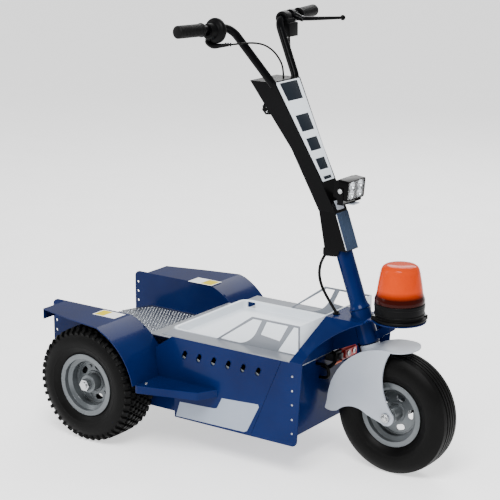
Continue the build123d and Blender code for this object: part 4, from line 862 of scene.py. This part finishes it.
ring_places = []
row_pitch = PITCH * sqrt(3) / 2
for row in range(-22, 22):
    for column in range(-22, 16):
        x, y = column * PITCH + (row % 2) * PITCH / 2, row * row_pitch
        if inside(x, y, DECK_OUTLINE):
            ring_places.append((at(x, y, DECK_TOP), UP, AHEAD))
grow(
    "deck_rings", STUDS, ring_places, "deck_aluminium", "chassis",
    Radius=0.0041, Height=0.0013, Top_Share=0.74, Sides=10,
)
# Each hole is a black disc on its ring: painted shade where the opening would be.
hole_places = [(place + UP * 0.0009, facing, along) for place, facing, along in ring_places]
grow(
    "deck_ring_hole_shade", STUDS, hole_places, "black_plastic", "chassis",
    Radius=0.0023, Height=0.0006, Top_Share=0.96, Sides=8,
)
print("deck rings", len(ring_places))

# %% [markdown]
# ## Load tray
# The tray is a pressed white tub with rounded corners and a rolled rim on three sides. Its wall is
# built from rounded rectangles, one above the other, so that corners and rim stay smooth.

# %% Tray
TRAY = {"rear": 201, "front": 627, "half": 171, "corner": 22}
NOTCH = (227, 170, 320)


def rounded_loop(grow_by, z):
    """The tray's outline, grown outward, its front held at the nose wall."""
    half, radius = TRAY["half"] + grow_by, max(TRAY["corner"] + grow_by, 2)
    outline = rounded_box(TRAY["rear"] - grow_by, TRAY["front"] + grow_by, -half, half, radius, 8)
    return [at(min(x, TRAY["front"]), y, z) for x, y in outline]


TRAY_LEVELS = (
    (-9, 309), (-4.5, 310.2), (-3, 313.5), (-3, 329), (-2.2, 331.6), (-0.4, 332.8), (2.5, 333),
    (5.2, 332.7), (6.8, 331.2), (7.0, 329.2), (6.2, 328.2), (5.4, 329.0), (4.6, 330.4), (1.2, 330.2),
    (0.2, 328.8), (0, 326), (0, 310), (-1.2, 307.2), (-4.5, 306),
)
BEAD = (
    (7.2, 332.4), (9.0, 331.6), (9.8, 329.6), (9.0, 327.4), (7.2, 326.6), (5.6, 327.6), (5.2, 329.6),
    (5.8, 331.6),
)
shell = bmesh.new()
bridge(shell, [rounded_loop(grow_by, z) for grow_by, z in TRAY_LEVELS], capped=True)
tub = place_object("tub", closed("tub", shell))
shell = bmesh.new()
for side in BOTH:
    block(shell, at(NOTCH[0], side * NOTCH[1], NOTCH[2]), (26, 14, 17))
cutter = place_object("notches", closed("notches", shell))
cut = tub.modifiers.new("notches", "BOOLEAN")
cut.operation = "DIFFERENCE"
cut.object = cutter
cut.solver = "EXACT"
tray_mesh = evaluated_mesh(tub)
for spare in (tub, cutter):
    bpy.data.objects.remove(spare)
keep("load_tray_tub", tray_mesh, "tray_white", "chassis", smooth=40, stands_for=["tray"])
# The rolled rim is white enamel like the tub; its grey is painted shade along the rim.
rim_shade_look = finish(
    "painted_shade_tray_rim", (0.27, 0.31, 0.35), (0.32, 0.36, 0.40), (0.3, 0.4), radius=0.0,
    Coat_Weight=0.1,
)
bead_loops = [rounded_loop(grow_by, z) for grow_by, z in BEAD]
solid(
    "tray_rim_bead", "tray_white", "chassis", [(bridge, bead_loops, False, True)], smooth=50, look=rim_shade_look
)
wall = [at(624, y, z) for y, z in ((-179, 306), (179, 306), (179, 414), (-179, 414))]
solid("tray_front_wall", "tray_white", "chassis", [(prism, wall, AHEAD * 0.003)], width=1.0)

# %% [markdown]
# ## Column
# The front of the column carries a white panel with five dark windows, and thin white strips edge
# the slate cover plate below the work lamp. Both follow the column's slope.

# %% Column directions
LEAN = radians(27.7)
FACE_OUT = Vector((cos(LEAN), 0, sin(LEAN)))
FACE_DOWN = Vector((sin(LEAN), 0, -cos(LEAN)))
PANEL_TOP = at(459 + 3 * sin(LEAN) / cos(LEAN), 0, 1027)


def on_panel(y, down, out):
    """A point on the column's front face: across, down the slope and out from it."""
    return PANEL_TOP + (LEFT * y + FACE_DOWN * down + FACE_OUT * out) / 1000

# %% Column windows and trim
WINDOWS = ((6, 58, 42, 36), (100, 147, 31, 29), (167, 203, 26, 25), (226, 258, 22, 21), (277, 286, 19, 18))
window_look = finish(
    "slate_window", (0.0065, 0.0095, 0.014), (0.011, 0.015, 0.021), (0.22, 0.32), depth=0.03, radius=0.0,
    Specular_IOR_Level=0.06,
)
WINDOW_SHARE = 0.985
forms = []
for top, low, half_top, half_low in WINDOWS:
    corners = ((-half_top, top), (half_top, top), (half_low, low), (-half_low, low))
    middle = (top + low) / 2
    rows = [(y * WINDOW_SHARE, middle + (d - middle) * WINDOW_SHARE) for y, d in corners]
    outline = [on_panel(y, d, 0.1) for y, d in rows]
    forms.append((prism, outline, FACE_OUT * 0.0014))
solid("column_windows", "black_paint", "steering", forms, width=0.3, look=window_look)

trim = [on_panel(y, d, 0.2) for y, d in ((-60, -1.5), (60, -1.5), (57, 6), (-57, 6))]
solid("column_top_trim", "black_paint", "steering", [(prism, trim, FACE_OUT * 0.0012)], width=0.4)

SLEEVE_TOP, SLEEVE_FOOT = at(638.2, 0, 689), at(672.2, 0, 592)
sleeve_down = (SLEEVE_FOOT - SLEEVE_TOP).normalized()
sleeve_out = sleeve_down.cross(LEFT).normalized()
sleeve_length = (SLEEVE_FOOT - SLEEVE_TOP).length * 1000


def on_sleeve(y, down, out):
    """A point on the lower cover plate."""
    return SLEEVE_TOP + (LEFT * y + sleeve_down * down + sleeve_out * out) / 1000


STRIP_Y = 28.9
strips = [
    (rod, on_sleeve(y, 2, 0.7), on_sleeve(y, sleeve_length - 2, 0.7), 0.9, 10) for y in (-STRIP_Y, STRIP_Y)
]
solid("sleeve_edge_strips", "tray_white", "steering", strips)

# %% [markdown]
# ### Catch and steering tube
# A small catch sits on the rear edge of the column. The steering tube is drawn out at its foot
# into a smooth collar over the head, which a turned profile gives in one piece.

# %% Catch and steering tube
catch_turn = Matrix.Rotation(-LEAN, 3, "Y")
tongue = (block, at(413.5, -38, 953), (5, 9, 15), catch_turn)
solid("column_catch_tongue", "bare_steel", "steering", [tongue], width=1.0)
catch_screws = [(at(428, -47.2, z), -LEFT, UP) for z in (944, 957)]
heads("column_catch_screws", catch_screws, "steering", 0.0022, 0.0016, 12)

RAKE = radians(19.5)
STEER_UP = Vector((-sin(RAKE), 0, cos(RAKE)))
STEER_HEAD = at(711, 0, 402)
STEM = (
    (0, -66), (20, -66), (20, 30.9), (28.6, 31.3), (29.2, 33), (28.6, 35), (26.4, 39), (24.6, 44),
    (23.6, 49), (23.1, 55), (23, 62), (23, 240), (0, 240),
)
tube = (lathe, STEM, STEER_HEAD, STEER_UP, 64)
solid("steering_tube_drawn", "body_blue", "steering", [tube], smooth=40, stands_for=["steering_tube"])

# %% [markdown]
# ## Blank labels
# The real tug carries printed stickers. Their places are kept and left without print, as thin
# plates just above the paint.

# %% Labels
SIDE_LABEL = (
    (264, 144), (381, 149), (391, 152), (408, 184), (527, 191), (530, 184), (491, 108), (481, 103),
    (250, 100),
)
FENDER_LABELS = ((-32, 48, -245, -195, -28, 4), (-19, 69, 182, 234, 26, 65))
FENDER_TOP = 349
label_look = finish(
    "pale_grey_label", (0.22, 0.26, 0.33), (0.25, 0.29, 0.36), (0.3, 0.4), depth=0.03, radius=0.0,
    Coat_Weight=0.1,
)
white_look = finish(
    "white_label", (0.86, 0.87, 0.86), (0.9, 0.9, 0.9), (0.3, 0.4), depth=0.02, radius=0.0
)
yellow_look = finish(
    "yellow_label", (0.62, 0.48, 0.0), (0.68, 0.54, 0.0), (0.4, 0.5), depth=0.02, radius=0.0,
    Specular_IOR_Level=0.1,
)
sides = [
    (prism, [at(x, sign * (BODY_SIDE + 0.05), z) for x, z in SIDE_LABEL], LEFT * sign * 0.0005)
    for sign in BOTH
]
solid("side_labels", "frame_grey", "chassis", sides, look=label_look)
white, yellow = [], []
for x0, x1, y0, y1, patch_rear, patch_front in FENDER_LABELS:
    whole = ((x0, y0), (x1, y0), (x1, y1), (x0, y1))
    patch = ((patch_rear, y0 + 4), (patch_front, y0 + 4), (patch_front, y1 - 4), (patch_rear, y1 - 4))
    white.append((prism, [at(x, y, FENDER_TOP + 0.02) for x, y in whole], UP * 0.0003))
    yellow.append((prism, [at(x, y, FENDER_TOP + 0.3) for x, y in patch], UP * 0.0002))
solid("fender_labels", "tray_white", "chassis", white, look=white_look)
solid("fender_label_patches", "amber_lens", "chassis", yellow, look=yellow_look)

# %% [markdown]
# ## Beacon
# The amber dome is a thin turned shell over a red ring and a silver reflector. Fine vertical ribs
# inside it scatter the light; the black base carries two soft seals and two screwed ears.

# %% Beacon dome
BEACON = at(822, 0, 0)
DOME = (
    (64.6, 471.5), (66.6, 473), (67.0, 479), (66.2, 484), (63.4, 491), (61.0, 500), (60.0, 510), (58.2, 522),
    (55.4, 538), (52.4, 553), (50.0, 562), (46.6, 567.6), (41.0, 571.4), (31.0, 573.4), (16, 573.9), (0, 574),
)
inner_dome = [(max(r - 2.4, 0), z - (0 if r > 61 else 2.2)) for r, z in DOME]
dome = (lathe, list(DOME) + inner_dome[::-1], BEACON, UP, 72)
solid("beacon_dome", "amber_lens", "chassis", [dome], smooth=40, stands_for=["beacon_lens"])

# %% Beacon base
FOOT = (
    (0, 423.2), (66, 423.2), (70.5, 425), (71.4, 427), (71.4, 430.2), (70, 431.8), (66, 432.6), (64.2, 434),
    (64.2, 437), (65.4, 439), (66.2, 446), (66.8, 456), (67.4, 466), (67.2, 470), (66.0, 471.4),
    (60, 471.4), (60, 466), (0, 466),
)
EAR = ((0, 423.2), (9.5, 425), (9.5, 434), (8.6, 435), (0, 435))
SEAL = ((64.5, 0), (67.2, 0.4), (67.8, 1.6), (67.2, 2.8), (64.5, 3.2))
EAR_REACH, EAR_TURN = 0.0655, radians(37)
forms, ears = [(lathe, FOOT, BEACON, UP, 96)], []
for sign in BOTH:
    ear = BEACON + Vector((cos(EAR_TURN), sin(EAR_TURN), 0)) * sign * EAR_REACH
    forms.append((lathe, EAR, ear, UP, 24))
    ears.append((ear + UP * 0.435, UP, AHEAD))
solid("beacon_foot", "black_plastic", "chassis", forms, stands_for=["beacon_base"])
heads("beacon_screws", ears, "chassis", 0.0044, 0.0036, 18)
seals = [(lathe, [(r, z + up) for r, up in SEAL], BEACON, UP, 72) for z in (441.5, 461)]
solid("beacon_seals", "grip_rubber", "chassis", seals)

# %% [markdown]
# ### Inside the beacon
# A red ring glows low in the dome and a silver reflector stands above it. The photograph shows
# only its glints, so its eight flat sides are a guess: they catch the light one by one.

# %% Inside the beacon
red_look = finish(
    "red_amber_plastic", (0.30, 0.010, 0.001), (0.42, 0.018, 0.001), (0.10, 0.18), depth=0.02, radius=0.0,
    Coat_Weight=0.3,
)
reflector_look = finish(
    "silver_reflector", (0.80, 0.80, 0.80), (0.9, 0.9, 0.9), (0.08, 0.16), 1.0, depth=0.02, radius=0.0
)
RED_RING = ((0, 467), (58, 467), (59.5, 474), (57, 486), (50, 494), (34, 497), (0, 498))
DRUM = ((0, 498), (20, 498), (20, 506), (33, 520), (44, 552), (42, 553), (30, 524), (14, 510), (0, 508))
BRIGHT_RING = ((46, 496.5), (53, 500), (53.6, 501.5), (46, 498.5))
solid(
    "beacon_inner_ring", "amber_lens", "chassis", [(lathe, RED_RING, BEACON, UP, 48)], look=red_look
)
drum = [(lathe, DRUM, BEACON, UP, 8), (lathe, BRIGHT_RING, BEACON, UP, 48)]
solid("beacon_reflector", "rim_silver", "chassis", drum, smooth=20, look=reflector_look)
RIB_COUNT = 24
rib_rows = []
for index in range(RIB_COUNT):
    turn = tau * index / RIB_COUNT
    out = Vector((cos(turn), sin(turn), 0))
    foot, top = BEACON + out * 0.0572 + UP * 0.508, BEACON + out * 0.0496 + UP * 0.552
    rib_rows.append(((foot + top) / 2, -out, (top - foot).normalized()))
grow(
    "beacon_dome_ribs", BARS, rib_rows, "amber_lens", "chassis",
    Length=0.046, Width=0.0022, Height=0.0016, Top_Share=0.5,
)

# %% [markdown]
# ## Work lamp
# A cast housing with fins behind holds four round reflectors behind a clear pane. The housing is
# built from rounded rectangles along its beam, and the reflectors are turned cups.

# %% Work lamp
TILT = radians(5.6)
BEAM = Vector((cos(TILT), 0, -sin(TILT)))
LAMP_UP = Vector((sin(TILT), 0, cos(TILT)))
LAMP_FACE = at(683, 0, 756)
lamp_turn = Matrix((BEAM, LEFT, LAMP_UP)).transposed()


def in_lamp(ahead, y, up):
    """A point of the lamp: along its beam, across and up."""
    return LAMP_FACE + (BEAM * ahead + LEFT * y + LAMP_UP * up) / 1000


def rounded_face(half_width, half_height, radius, ahead):
    """A rounded rectangle across the beam."""
    outline = rounded_box(-half_width, half_width, -half_height, half_height, radius, 5)
    return [in_lamp(ahead, y, up) for y, up in outline]


LAMP_SECTIONS = (
    (43, 27, 5, -30), (43, 27, 5, -1.2), (42.2, 26.2, 5, 0), (40.3, 24.3, 4, 0), (40, 24, 4, -1.0),
    (40, 24, 4, -16),
)
CUP = ((3.2, 0), (8.0, 4.5), (11.0, 12.5), (11.9, 12.5), (9.0, 3.6), (4.0, -0.3))
CUP_Y, CUP_UP, CUP_BACK = 19.5, 11.8, -15.6
lamp_loops = [rounded_face(*row) for row in LAMP_SECTIONS]
solid(
    "lamp_body", "black_paint", "steering", [(bridge, lamp_loops, True)], stands_for=["headlamp_housing"]
)
fins = [(in_lamp(-30, y, 0), -BEAM, LAMP_UP) for y in range(-40, 41, 8)]
grow(
    "lamp_fins", BARS, fins, "black_paint", "steering",
    Length=0.050, Width=0.0026, Height=0.0138, Top_Share=0.86,
)
plate = (prism, rounded_face(39.6, 23.6, 4, -15.9), BEAM * 0.0012)
solid("lamp_plate", "black_plastic", "steering", [plate])
centres = [in_lamp(CUP_BACK, y, up) for y in (-CUP_Y, CUP_Y) for up in (-CUP_UP, CUP_UP)]
cups = [(lathe, CUP, centre, BEAM, 32) for centre in centres]
solid("lamp_reflectors", "rim_silver", "steering", cups, look=reflector_look)
die_look = finish(
    "pale_led_die", (0.9, 0.88, 0.7), (0.95, 0.93, 0.8), (0.4, 0.5), depth=0.02, radius=0.0
)
dies = [(block, centre + BEAM * 0.0006, (1.6, 5, 5), lamp_turn) for centre in centres]
solid("lamp_led_dies", "lamp_glass", "steering", dies, look=die_look)
yoke_bolts = [(at(661, s * 46, 756), LEFT * s, UP) for s in BOTH]
heads("lamp_yoke_bolts", yoke_bolts, "steering", 0.005, 0.0038, 6)

# %% [markdown]
# ## Handlebar controls
# The grips are ribbed rubber with closed ends. On the right a round throttle case sits inboard of
# the grip, on the left a switch box and the brake lever. Oval rings set along a smooth line make
# the forms that bend.

# %% Sweeping helpers


def smooth_route(points, steps=8):
    """Points on a smooth curve through the given ones."""
    route = [points[0] * 2 - points[1]] + list(points) + [points[-1] * 2 - points[-2]]
    line = []
    for before, here, after, later in zip(route, route[1:], route[2:], route[3:]):
        for step in range(steps):
            t = step / steps
            line.append(
                (here * 2 + (after - before) * t + (before * 2 - here * 5 + after * 4 - later) * t * t
                 + (here * 3 - before - after * 3 + later) * t ** 3) / 2
            )
    return line + [points[-1]]


def sweep(shell, line, wide, tall, sides=16):
    """An oval skin along a line of points, its half sizes given at the two ends in millimetres."""
    loops = []
    for index, here in enumerate(line):
        run = (line[min(index + 1, len(line) - 1)] - line[max(index - 1, 0)]).normalized()
        side = run.cross(UP).normalized()
        share = index / (len(line) - 1)
        out = side * (wide[0] + (wide[1] - wide[0]) * share) / 1000
        over = side.cross(run) * (tall[0] + (tall[1] - tall[0]) * share) / 1000
        turns = [tau * i / sides for i in range(sides)]
        loops.append([here + out * cos(turn) + over * sin(turn) for turn in turns])
    bridge(shell, loops, capped=True)


BAR_START, BAR_END = 110, 317
GRIP_START = 224


def on_bar(side, y):
    """A point on the outer run of the handlebar, side is -1 on the right."""
    share = (y - BAR_START) / (BAR_END - BAR_START)
    return at(355 - 18 * share, side * y, 1170 + 6 * share)

# %% Grips
GRIP = [(11.3, 0), (17.6, 0), (18.6, 1.2), (18.6, 3.6), (17.2, 5.2)]
for index in range(15):
    start = 7 + 5.4 * index
    GRIP += [(16.9, start), (16.9, start + 3.3), (15.7, start + 3.9), (15.7, start + 4.8)]
GRIP += [(16.8, 88.4), (16.6, 91), (14.5, 93.2), (10, 94.2), (0, 94.4), (0, 91.5), (11.3, 91.5)]
grips = [
    (lathe, GRIP, on_bar(side, GRIP_START), on_bar(side, BAR_END) - on_bar(side, GRIP_START), 40)
    for side in BOTH
]
solid("ribbed_grips", "grip_rubber", "steering", grips, smooth=25, stands_for=["grips"])

# %% [markdown]
# ### Throttle
# The throttle is a round case with a horn that curves down to the control cable. The case is
# turned, because it is round, and the horn is swept, because it bends and narrows.

# %% Throttle
CASE = (
    (11.3, -12.5), (21, -12.5), (25, -11.6), (30.5, -9.4), (33, -6), (33.6, -2), (33.6, 2.5), (32.4, 5.5),
    (29, 8.4), (24, 10), (21.5, 12), (20.4, 20), (20.4, 30), (19, 33), (11.3, 33),
)
HORN = (
    at(334, -172, 1150), at(330, -175, 1137), at(345, -174, 1127), at(366, -169, 1129), at(384, -160, 1131.5),
)
HORN_TIP = (390, -156.8, 1132)
HORN_END = at(*HORN_TIP)
throttle_axis = on_bar(-1, BAR_END) - on_bar(-1, BAR_START)
case = (lathe, CASE, on_bar(-1, 170) - UP * 0.005, throttle_axis, 56)
solid("throttle_case", "black_plastic", "steering", [case], smooth=30, stands_for=["throttle_housing"])
horn = (sweep, smooth_route(HORN), (10.5, 4.2), (10, 4.2), 20)
solid("throttle_horn", "black_plastic", "steering", [horn], smooth=60)
forms = []
for back in (2, 8, 14):
    place = at(HORN_TIP[0] - back, HORN_TIP[1] - back * 0.45, HORN_TIP[2])
    collar_end = place + (HORN_END - place) * (2.4 / (HORN_END - place).length / 1000)
    forms.append((rod, place, collar_end, 5.2, 18))
forms.append((rod, at(378, -162.5, 1131.6), HORN_END, 3.6, 18, 0.8))
solid("throttle_adjuster", "black_plastic", "steering", forms)
throttle_out = throttle_axis.normalized()
screw_rows = []
for turn in (0.7, 2.8, 4.9):
    away = Matrix.Rotation(turn, 3, throttle_out) @ throttle_out.cross(UP).normalized()
    screw_rows.append((on_bar(-1, 158.2) + away * 0.0215, -throttle_out, away))
heads("throttle_screws", screw_rows, "steering", 0.0022, 0.0014, 12)

# %% [markdown]
# ### Switch box
# The switch box has three push buttons and is clamped to the bar. Two boxes with rounded edges and
# a turned clamp are enough for a moulded case; its lead is swept down to the column.

# %% Switch box
CLAMP = ((11.3, 0), (17.5, 0), (19.6, 1.6), (19.6, 14.4), (17.5, 16), (11.3, 16))
BUTTON = ((0, 0), (5.6, 0), (5.6, 2.6), (4.6, 3.8), (0, 4.0))
LEAD = (at(372, 140, 1123), at(392, 112, 1104), at(416, 82, 1078), at(438, 66, 1050), at(449, 58, 1028))
switch_axis = on_bar(1, BAR_END) - on_bar(1, BAR_START)
forms = [
    (lathe, [(r, a * 1.9) for r, a in CLAMP], on_bar(1, 129), switch_axis, 40),
    (block, at(369, 146, 1141), (30, 43, 38)),
    (block, at(360, 146, 1158), (30, 36, 26)),
]
solid(
    "switch_box", "black_plastic", "steering", forms, width=8, segments=4, stands_for=["switch_housing"]
)
buttons = [
    (lathe, BUTTON, at(353.6, y, z), -AHEAD, 24) for y, z in ((136, 1150), (152, 1150), (144, 1131))
]
solid("switch_buttons", "grip_rubber", "steering", buttons)
lead = (sweep, smooth_route(LEAD), (3.2, 3.2), (3.2, 3.2), 12)
solid("switch_lead", "black_plastic", "steering", [lead], smooth=60)

# %% [markdown]
# ### Brake lever
# The lever is a curved blade with a round end, on a perch clamped to the bar. An oval skin swept
# along five points tapers evenly, which a bent box wouldn't.

# %% Brake lever
BLADE = (
    at(372, 180, 1168), at(390, 204, 1166), at(406, 244, 1164), at(419, 284, 1162), at(430, 324, 1160),
)
PERCH = (at(352, 184, 1176), at(368, 185, 1172), at(386, 190, 1165))
TIP = ((0, -8), (3.6, -7.1), (6.8, -4.2), (8, 0), (6.8, 4.2), (3.6, 7.1), (0, 8))
line = smooth_route(BLADE)
forms = [
    (lathe, CLAMP, on_bar(1, 176), switch_axis, 40),
    (sweep, smooth_route(PERCH, 6), (12, 9), (11, 7.5)),
    (sweep, line, (8.6, 4.8), (6.8, 4.4), 16),
    (lathe, TIP, line[-1], UP, 24),
]
solid("brake_lever_blade", "black_paint", "steering", forms, smooth=50, stands_for=["brake_lever"])
pivot = [(at(383, 189, 1172.5), UP, AHEAD), (at(352, 184, 1186.8), UP, AHEAD)]
heads("brake_pivot_bolts", pivot, "steering", 0.0030, 0.0024, 6)

# %% [markdown]
# ### Boot of the column
# A thin black boot closes the lower end of the cover plate. Flat prisms of its outline are enough,
# because only its edge shows.

# %% Boot of the column
BOOT = ((600, 592), (600, 575), (606, 570), (640, 572), (648, 578), (652, 592))
BOOT_END = ((600, 575), (600, 592), (603, 592), (603, 575))
boot = [
    (prism, [at(x, y, z) for x, z in outline], LEFT * depth)
    for outline, y, depth in ((BOOT, -30.6, 0.0026), (BOOT, 28.0, 0.0026), (BOOT_END, -30.6, 0.0612))
]
solid("column_boot", "black_plastic", "steering", boot, width=0.8)

# %% [markdown]
# ## Front of the body
# Under the hood a socket, two round contacts, three hoses and an orange strip sit on the bulkhead.
# They are seen only in the dark behind the front wheel, so simple boxes and swept tubes do.

# %% Connector and hoses
CONTACT = ((0, 0), (7.5, 0), (7.5, 2.4), (5.6, 2.6), (5.6, 0.9), (0, 0.9))
HOSES = (
    (((604, -34, 262), (628, -38, 262), (644, -32, 282), (636, -24, 300), (616, -22, 301)), 5.0),
    (((604, 104, 296), (630, 106, 297), (645, 104, 276), (640, 96, 254), (606, 92, 244)), 5.5),
    (((604, -62, 276), (634, -64, 276), (642, -60, 256), (630, -50, 238), (605, -46, 232)), 4.5),
)
socket = [(block, at(619, 0, 286), (32, 34, 26)), (block, at(639, 2, 286), (8, 20, 16))]
solid("connector_socket", "battery_case", "chassis", socket, width=1.4)
contacts = [(lathe, CONTACT, at(641, y, 285), AHEAD, 24) for y in (42, 70)]
solid("connector_contacts", "bare_steel", "chassis", contacts)
hoses = [
    (sweep, smooth_route([at(*p) for p in route]), (radius, radius), (radius, radius), 14)
    for route, radius in HOSES
]
solid("bulkhead_hoses", "black_plastic", "chassis", hoses, smooth=60)
orange_look = finish(
    "orange_plastic", (0.62, 0.10, 0.004), (0.70, 0.13, 0.006), (0.4, 0.5), radius=0.0
)
strip = (block, at(605, 30, 250), (4, 64, 5))
solid("bulkhead_strip", "amber_lens", "chassis", [strip], width=0.6, look=orange_look)

# %% [markdown]
# ### Screws, bolts and glands
# Screws close the nose sides, the steps and the fenders, and a rubber gland holds each end of the
# lower cable. The heads come from the placing tree, and the glands are turned.

# %% Screws, bolts and glands
NOSE_SCREWS = (291, 251, 212, 171, 132)
nose_rows = [(at(636, s * (BODY_SIDE + 0.1), z), LEFT * s, UP) for s in BOTH for z in NOSE_SCREWS]
heads("nose_screws", nose_rows, "chassis", 0.0023, 0.0012, 16)
step_rows = [(at(x, s * y, 205), UP, AHEAD) for x, y in ((374, 214), (204, 300)) for s in BOTH]
heads("step_bolts", step_rows, "chassis", 0.0042, 0.003, 16)
axle_rows = [(at(FRONT_WHEEL_X, s * 65, WHEEL_Z), LEFT * s, UP) for s in BOTH]
heads("front_axle_nuts", axle_rows, "steering", 0.0095, 0.0060, 6)
FENDER_SCREWS = ((-150, 335), (-60, 335), (40, 335), (110, 322))
fender_rows = [(at(x, s * 191.0, z), -LEFT * s, UP) for s in BOTH for x, z in FENDER_SCREWS]
heads("fender_screws", fender_rows, "chassis", 0.004, 0.0022, 16, "body_blue")
COLUMN_GLAND = ((4.2, 0), (9, 0), (9, 3), (6.5, 5), (5.6, 11), (4.2, 11))
HOOD_GLAND = ((4.2, 0), (10, 0), (10, 2), (7, 3.4), (6, 8), (4.2, 8))
for name, gland, place, way, body in (
    ("column_gland", COLUMN_GLAND, at(611, -20, 590), -UP, "steering"),
    ("hood_gland", HOOD_GLAND, at(639, -20, 411.2), UP, "chassis"),
):
    solid(name, "grip_rubber", body, [(lathe, gland, place, way, 24)])

# %% [markdown]
# ### Vent lips
# Each side has six slanted vents with a pressed lip and a bright strip behind its lower end, a
# painted reflection. Their outline is worked out in one place, so that lip and strip follow the
# same curve.

# %% Vent lips
VENTS = [(282 + 49 * i, 283) for i in range(6)]
SLANT = radians(65)
REACH_X, REACH_Z = 6.5 * cos(SLANT), 6.5 * sin(SLANT)


def vent_loop(x, z, radius):
    """The slanted oval of a vent: two half circles with straight sides between them."""
    upper = arc(x + REACH_X, z + REACH_Z, radius, SLANT - pi / 2, pi, 12)
    return upper + arc(x - REACH_X, z - REACH_Z, radius, SLANT + pi / 2, pi, 12)


lips, reflection_strips = [], []
for sign in BOTH:
    for vent_x, vent_z in VENTS:
        outer, inner = vent_loop(vent_x, vent_z, 7.7), vent_loop(vent_x, vent_z, 6.5)
        loops = [
            [at(x, sign * (BODY_SIDE + out), z) for x, z in loop]
            for loop, out in ((outer, 0), (outer, 0.7), (inner, 0.9), (inner, -1.8))
        ]
        lips.append((bridge, loops, False, True))
        # The silver strip behind the lower end of each vent is a painted reflection.
        low_half = [at(x, sign * (BODY_SIDE - 3.4), z) for x, z in inner[13:]]
        reflection_strips.append((prism, low_half, LEFT * sign * 0.0008))
solid("vent_lips", "body_blue", "chassis", lips)
solid("vent_painted_reflections", "rim_silver", "chassis", reflection_strips)

# %% [markdown]
# ## Studio
# A large pale floor, a pale sky and three big soft lamps give the even light of a catalogue picture.

# %% Studio
floor_mesh = bpy.data.meshes.new("studio_floor")
floor_mesh.from_pydata([(-14, -14, 0), (14, -14, 0), (14, 14, 0), (-14, 14, 0)], [], [(0, 1, 2, 3)])
floor = place_object("studio_floor", floor_mesh)
floor.data.materials.append(
    finish(
        "pale_floor", (0.92, 0.92, 0.92), (0.94, 0.94, 0.94), (0.55, 0.65), depth=0.02, radius=0.0,
        Emission_Color=(1.0, 1.0, 1.0), Emission_Strength=0.9,
    )
)

SKY_STRENGTH = 0.75
world = bpy.data.worlds.new("studio_sky")
bpy.context.scene.world = world
world.use_nodes = True
world.node_tree.nodes["Background"].inputs["Color"].default_value = (1.0, 1.0, 1.0, 1)
world.node_tree.nodes["Background"].inputs["Strength"].default_value = SKY_STRENGTH


def soft_lamp(name, place, size, power):
    """A square area lamp aimed at the middle of the tug."""
    data = bpy.data.lights.new(name, "AREA")
    data.shape = "SQUARE"
    data.size = size
    data.energy = power
    lamp = place_object(name, data)
    lamp.location = place
    lamp.rotation_mode = "QUATERNION"
    lamp.rotation_quaternion = (Vector((0, 0, 0.5)) - lamp.location).to_track_quat("-Z", "Y")


LAMPS = (
    ("key_lamp", (1.2, -2.4, 3.6), 1.8, 230), ("side_lamp", (-3.2, -2.2, 2.2), 2.0, 60),
    ("back_lamp", (-1.0, 3.2, 3.0), 2.5, 100),
)
for lamp_row in LAMPS:
    soft_lamp(*lamp_row)
print("lamps", [row[0] for row in LAMPS])
